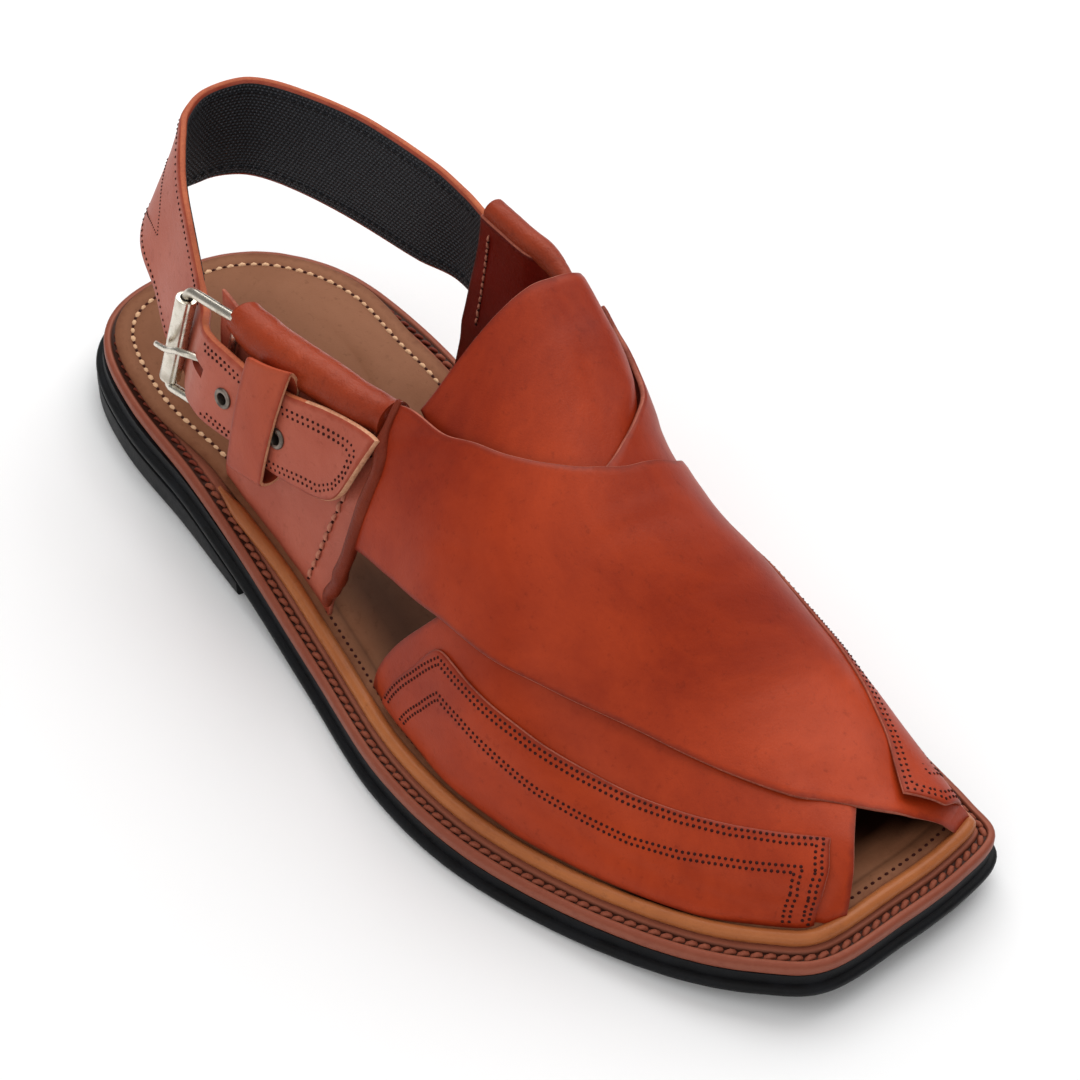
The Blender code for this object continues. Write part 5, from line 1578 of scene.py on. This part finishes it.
def strap_face(s, v):
    """Inner face of the strap: s in mm along it, v from its top 0 to its bottom 1."""
    s, v = np.broadcast_arrays(np.asarray(s, float), np.asarray(v, float))
    a, b, c = (np.stack([_line[k](s) for k in range(i, i + 3)], -1) for i in (0, 3, 6))
    w = v[..., None]
    return a * (1 - w) * (1 - 2 * w) + b * 4 * w * (1 - w) + c * w * (2 * w - 1)


def strap_normal(s, v):
    down = strap_face(s, v + 0.02) - strap_face(s, v - 0.02)
    along = strap_face(np.asarray(s) + 0.4, v) - strap_face(np.asarray(s) - 0.4, v)
    return unit(np.cross(down, along))


def on_strap(s, v, height):
    """Point at a height above the strap's inner face; STRAP_T is its outer face."""
    return strap_face(s, v) + strap_normal(s, v) * np.asarray(height, float)[..., None]


def strap_width(s):
    return np.linalg.norm(strap_face(s, 0.0) - strap_face(s, 1.0), axis=-1)


def nearest_on_strap(x, z):
    """s and v of the strap's outer face nearest to x and z on the outer side."""
    s, v = np.meshgrid(np.linspace(STRAP_LENGTH * 0.5, STRAP_LENGTH, 700),
                       np.linspace(0, 1, 61), indexing="ij")
    p = on_strap(s, v, np.full(s.shape, STRAP_T))
    far = np.hypot(p[..., 0] - x, p[..., 2] - z)
    i = np.unravel_index(int(np.argmin(far)), far.shape)
    return s[i], v[i]


print("heel strap is %.0f mm long and %.0f to %.0f mm wide"
      % (STRAP_LENGTH, strap_width(STRAP_LENGTH), strap_width(30.0)))

# %% Strap leather
SLOT_X, SLOT_Z, SLOT_LENGTH, SLOT_WIDTH = 66.8, 54.9, 6.8, 3.2
EYELETS = ((79.3, 52.7), (101.0, 54.3))     # x, z
WEB_START = 8.0                             # mm along the strap
EYELET_R, EYELET_BARREL_R, EYELET_BORE_R, EYELET_HOLE_R = 2.6, 2.1, 1.6, 2.25

s = spread(330, 0.0028) * STRAP_LENGTH
v = spread(32, 0.025)
S, V = np.meshgrid(s, v, indexing="ij")
loose = 0.10 * wobble(strap_face(S, V), (33.0, 17.0, 11.0), 4)
high = STRAP_T + np.clip(loose, -0.15, 0.12)
web_end = nearest_on_strap(50.0, 45.0)[0] - 6.0
low = 0.45 * (1 - smooth((S - web_end) / 5.0))
strap = sheet("heel_strap_leather", on_strap(S, V, high), on_strap(S, V, low), STRAP,
              TAN_EDGE, STRAP, end_edge=CREAM_EDGE, end_from=0.9, slot="quarter_leather",
              replaces=("heel_strap",))


# %% Two round holes and a slot
def place_on_strap(x, z, upward):
    """Matrix on the strap's outer face, with Z outwards and Y towards upward."""
    s, v = nearest_on_strap(x, z)
    origin = on_strap(np.array(s), np.array(v), np.array(STRAP_T))
    out = unit(np.asarray(strap_normal(s, v), float))
    side_ = unit(np.cross(upward, out))
    m = np.eye(4)
    m[:3, 0], m[:3, 1], m[:3, 2], m[:3, 3] = side_, np.cross(out, side_), out, metres(origin)
    return Matrix(m.tolist())


def punch(target, place, shape):
    """Cut a hole with a throwaway cutter and keep the cut mesh."""
    mesh = bpy.data.meshes.new("cutter")
    bm = bmesh.new()
    if shape[0] == "round":
        bmesh.ops.create_cone(bm, cap_ends=True, segments=32, radius1=shape[1] * MM,
                              radius2=shape[1] * MM, depth=9.0 * MM)
    else:
        bmesh.ops.create_cube(bm, size=1.0)
        bmesh.ops.scale(bm, vec=(shape[1] * MM, shape[2] * MM, 12.0 * MM), verts=bm.verts)
    bm.to_mesh(mesh)
    bm.free()
    cutter = bpy.data.objects.new("cutter", mesh)
    cutter.matrix_world = place
    scene.collection.objects.link(cutter)
    cut = target.modifiers.new("cut", "BOOLEAN")
    cut.operation, cut.solver, cut.object = "DIFFERENCE", "EXACT", cutter
    bpy.context.view_layer.update()
    graph = bpy.context.evaluated_depsgraph_get()
    done = bpy.data.meshes.new_from_object(target.evaluated_get(graph))
    target.modifiers.remove(cut)
    bpy.data.objects.remove(cutter, do_unlink=True)
    old, name = target.data, target.data.name
    target.data = done
    bpy.data.meshes.remove(old)
    done.name = name


eyelet_places = [place_on_strap(x_, z_, (0, 0, 1)) for x_, z_ in EYELETS]
for place in eyelet_places:
    punch(strap, place, ("round", EYELET_HOLE_R))
punch(strap, place_on_strap(SLOT_X, SLOT_Z, (0.08, 0, 1)), ("box", SLOT_LENGTH, SLOT_WIDTH))
print("strap after punching:", len(strap.data.polygons), "faces")

# %% Webbing inside the strap
s = np.linspace(WEB_START, web_end, 300)
w = strap_width(s)[:, None]
v = (0.9 + spread(24, 0.03)[None] * (w - 1.8)) / w
S = np.repeat(s[:, None], 24, axis=1)
web = sheet("webbing_lining", on_strap(S, v, 0.05 + 0 * S), on_strap(S, v, 0.6 + 0 * S),
            WEBBING, WEBBING)
rim = np.zeros(len(web.data.vertices) - 2 * S.size)
for label, values in (("along_mm", S), ("across_mm", v * w)):
    store(web.data, label, np.concatenate([values.ravel(), values.ravel(), rim]))


# %% Seams of the strap
def edge_row(name, from_top, inset, s0, s1, pitch, height, length, radius, mat, sink):
    """Stitches along the strap at an inset in mm from its top or bottom edge."""
    s = np.arange(s0, s1, pitch)
    share = inset / strap_width(s)
    v = share if from_top else 1 - share
    outward = 1 if height > STRAP_T / 2 else -1
    c, ahead = (on_strap(s + step, v, np.full(len(s), height)) for step in (0.0, 0.5))
    stitches(name, c, ahead - c, strap_normal(s, v) * outward, length, radius, mat,
             sink=sink)


def seam_on_strap(name, route, pitch, length, radius):
    """Stitches along a route of (mm along the strap, mm down from its top edge)."""
    s, down = resample(np.array(route, float), 600).T
    v = np.clip(down, 0.8, strap_width(s) - 0.8) / strap_width(s)
    sew(name, on_strap(s, v, np.full(600, STRAP_T)), strap_normal(s, v), pitch / 2, 0.0,
        pitch, length, radius, DARK_THREAD_AND_HOLE_SHADE)


roller_s = nearest_on_strap(57.0, 50.0)[0]
OUTER_SEAM_SIZES = (2.4, 26.0, roller_s - 6, 1.7, STRAP_T, 1.35, 0.46, DARK_THREAD_AND_HOLE_SHADE, 0.6)
WEBBING_SEAM_SIZES = (3.2, 20.0, web_end - 3, 2.6, 0.05, 1.9, 0.40, BLACK_THREAD, 0.1)
for side_name, from_top in (("top", True), ("low", False)):
    edge_row("strap_seam_" + side_name, from_top, *OUTER_SEAM_SIZES)
    edge_row("webbing_seam_" + side_name, from_top, *WEBBING_SEAM_SIZES)

# %% Double seam round the strap's free end, and a pointed mark at the heel
FREE_END = 198.0     # mm along the strap; the tables count from here
FREE_SEAM = ((-6.5, 2.4), (0.0, 2.2), (17.0, 2.8), (27.0, 3.5), (38.0, 4.1), (50.2, 4.3),
             (53.3, 6.0), (53.6, 13.5), (51.0, 18.0), (45.0, 21.2), (34.0, 21.7), (27.6, 21.8),
             (10.0, 22.0), (2.0, 22.6), (-2.0, 22.8))
FREE_SEAM_IN = ((-5.5, 4.0), (0.0, 3.8), (17.0, 4.4), (27.0, 5.1), (38.0, 5.7), (48.9, 5.9),
                (51.7, 7.2), (52.0, 12.8), (49.8, 16.9), (44.4, 19.6), (34.0, 20.1),
                (27.6, 20.2), (10.0, 20.4), (2.0, 21.0), (-1.0, 21.2))
for number, table in enumerate((FREE_SEAM, FREE_SEAM_IN), 1):
    seam_on_strap("strap_end_seam_%d" % number, [(FREE_END + a, b) for a, b in table],
                  1.75, SEAM_STITCH, 0.5)
MARK_UPPER = ((125.0, 11.4), (130.5, 12.6), (137.0, 14.2), (142.6, 18.6))
MARK_LOWER = ((142.6, 18.6), (137.6, 20.6), (130.0, 26.0))
seam_on_strap("strap_mark_upper", path_through(MARK_UPPER, 60), 1.0, 1.05, 0.42)
seam_on_strap("strap_mark_lower", path_through(MARK_LOWER, 40), 1.0, 1.05, 0.42)

# %% [markdown]
# ## Keeper, buckle and eyelets
# The keeper is a short leather loop that holds the strap's free end. The
# buckle is bent wire with a loose roller on its rear bar and a prong that
# rests on the roller. The eyelets are turned rings pressed into the strap.

# %% Keeper loop
KEEPER_X, KEEPER_T = (86.4, 100.2), 1.2
KEEPER_TOP_Z, KEEPER_LOW_Z, KEEPER_BEND, KEEPER_DROP = 70.3, 34.4, 2.2, 6.0
KEEPER_RISE, KEEPER_IN_DEPTH, KEEPER_OUT_DEPTH = 0.25, 2.1, -5.1

low, high_z = KEEPER_LOW_Z + KEEPER_BEND, KEEPER_TOP_Z - KEEPER_BEND
mid_depth = (KEEPER_OUT_DEPTH + KEEPER_IN_DEPTH) / 2
reach = (KEEPER_IN_DEPTH - KEEPER_OUT_DEPTH) / 2
turns = np.linspace(0, math.pi, 9)[1:-1]
zs = np.linspace(0, 1, 18)
path = [(low + k * (high_z - low), KEEPER_OUT_DEPTH) for k in zs]
path += [(high_z - KEEPER_DROP * (1 - math.cos(a)) / 2 + KEEPER_BEND * math.sin(a),
          mid_depth - reach * math.cos(a)) for a in turns]
path += [(low + k * (high_z - KEEPER_DROP - low), KEEPER_IN_DEPTH) for k in zs[::-1]]
path += [(low - KEEPER_BEND * math.sin(a), mid_depth + reach * math.cos(a)) for a in turns]
path = resample(np.array(path), 120, closed=True)
_d = np.roll(path, -1, 0) - np.roll(path, 1, 0)
path_n = unit(np.stack([-_d[:, 1], _d[:, 0]], -1))
if ((path - path.mean(0)) * path_n).sum() < 0:
    path_n = -path_n
span = KEEPER_X[1] - KEEPER_X[0]
profile = [(0.0, 0.30), (0.0, 0.12), (0.02, 0.0)]
profile += [(k, 0.0) for k in np.linspace(0.06, 0.94, 12)]
profile += [(0.98, 0.0), (1.0, 0.12), (1.0, 0.30), (1.0, 0.85), (0.97, 1.0)]
profile += [(k, 1.0) for k in np.linspace(0.9, 0.1, 6)] + [(0.03, 1.0), (0.0, 0.85)]
rings, marks_mm = [], []
for share, deep in profile:
    x = KEEPER_X[0] + share * span
    rise = (x - KEEPER_X[0]) * KEEPER_RISE
    p = path - path_n * KEEPER_T * deep
    rings.append(on_side(np.full(len(p), x), p[:, 0] + rise, p[:, 1]))
    marks_mm.append(np.full(len(p), 0.0 if deep > 0.1 else min(share, 1 - share) * span))
cut = np.array([0.05 < deep < 0.99 for _, deep in profile])      # the strip's cut edge
which = np.repeat(cut & np.roll(cut, -1), len(path))
wrapped("keeper_loop", rings, [KEEPER, CREAM_EDGE], which,
        {"edge_mm": np.array(marks_mm), "painted_shade": np.zeros_like(marks_mm)},
        slot="quarter_leather", replaces=("keeper",))

# %% Buckle
BUCKLE_WIRE_R, BUCKLE_CORNER_R = 1.4, 3.0
BUCKLE_CORNERS = ((53.8, 66.5, -1.8), (74.6, 70.8, 0.0), (73.0, 40.2, 0.0), (50.2, 33.6, -1.8))
ROLLER_R, ROLLER_WALL, ROLLER_LENGTH = 2.9, 1.1, 28.6
PRONG_R, PRONG_SWELL, PRONG_LIFT, PRONG_DROP = 0.85, 1.15, 1.5, 0.6
PRONG_PATH = ((71.0, 54.7, 0.7), (68.8, 54.4, -1.3), (65.6, 53.9, -4.3), (61.0, 52.8, -5.9),
              (55.5, 50.8, -6.3), (49.6, 48.8, -6.1))

corners = np.array([on_side(*row) for row in BUCKLE_CORNERS])
loop = []
for i in range(4):
    a, b, c = corners[i - 1], corners[i], corners[(i + 1) % 4]
    start, end = b + unit(a - b) * BUCKLE_CORNER_R, b + unit(c - b) * BUCKLE_CORNER_R
    for k in np.linspace(0, 1, 12):
        loop.append((1 - k) ** 2 * start + 2 * k * (1 - k) * b + k * k * end)
loop = resample(np.array(loop), 180, closed=True)
tube("buckle_wire", loop, BUCKLE_WIRE_R, NICKEL, sides=18, closed=True, slot="nickel",
     replaces=("buckle_frame",))

bar_top, bar_low = corners[0], corners[3]
bar = unit(bar_top - bar_low)
half, bore = ROLLER_LENGTH / 2, ROLLER_R - ROLLER_WALL
across = unit(np.cross(bar, (1.0, 0.0, 0.0)))
other = np.cross(bar, across)
profile = ((bore, half), (ROLLER_R - 0.45, half), (ROLLER_R - 0.12, half - 0.12),
           (ROLLER_R, half - 0.5), (ROLLER_R - 0.06, half * 0.5), (ROLLER_R, 0.0),
           (ROLLER_R - 0.05, -half * 0.5), (ROLLER_R, -half + 0.5),
           (ROLLER_R - 0.12, -half + 0.12), (ROLLER_R - 0.45, -half), (bore, -half))
w = np.arange(56) * math.tau / 56
seam = np.exp(-((w - 4.2) / 0.10) ** 2)      # where the rolled plate closes
rings = []
for r_, h_ in profile:
    rad = r_ - (0.28 * seam if r_ > bore + 0.1 else 0.0)
    centre = (bar_top + bar_low) / 2 + bar * h_
    rings.append(centre + (across * np.cos(w)[:, None] + other * np.sin(w)[:, None])
                 * np.broadcast_to(rad, w.shape)[:, None])
wrapped("roller_tube", rings, [NICKEL], slot="nickel", replaces=("buckle_roller",))

prong = path_through([on_side(x_, z_ + PRONG_LIFT * smooth((x_ - 52.0) / 12.0) - PRONG_DROP, d_)
                      for x_, z_, d_ in PRONG_PATH], 60)
radius = PRONG_SWELL * PRONG_R * mix(1.0, 0.85, smooth(np.linspace(-1.5, 1, 60)))
tube("prong_wire", prong, radius, NICKEL, sides=14, slot="nickel",
     replaces=("buckle_prong",))

# %% Eyelet rings
low_h, high_h = -STRAP_T - 0.2, 0.35     # under the strap, over its face
rim_r = EYELET_R + 0.3
profile = ((EYELET_BORE_R, low_h), (EYELET_BORE_R, high_h), (EYELET_BORE_R + 0.12, high_h + 0.3),
           (2.1, high_h + 0.42), (EYELET_R, high_h + 0.36), (rim_r, high_h + 0.05),
           (rim_r, high_h - 0.3), (EYELET_BARREL_R, high_h - 0.3), (EYELET_BARREL_R, low_h))
turn = np.arange(48) * math.tau / 48
local = np.array([[(r_ * math.cos(a), r_ * math.sin(a), h_) for a in turn] for r_, h_ in profile])
for number, place in enumerate(eyelet_places, 1):
    basis = np.array(place)
    rings = local @ basis[:3, :3].T + basis[:3, 3] / MM + MIDDLE
    wrapped("eyelet_ring_%d" % number, rings, [DARK_METAL], slot="dark_metal",
            replaces=("eyelet_%d" % number,))
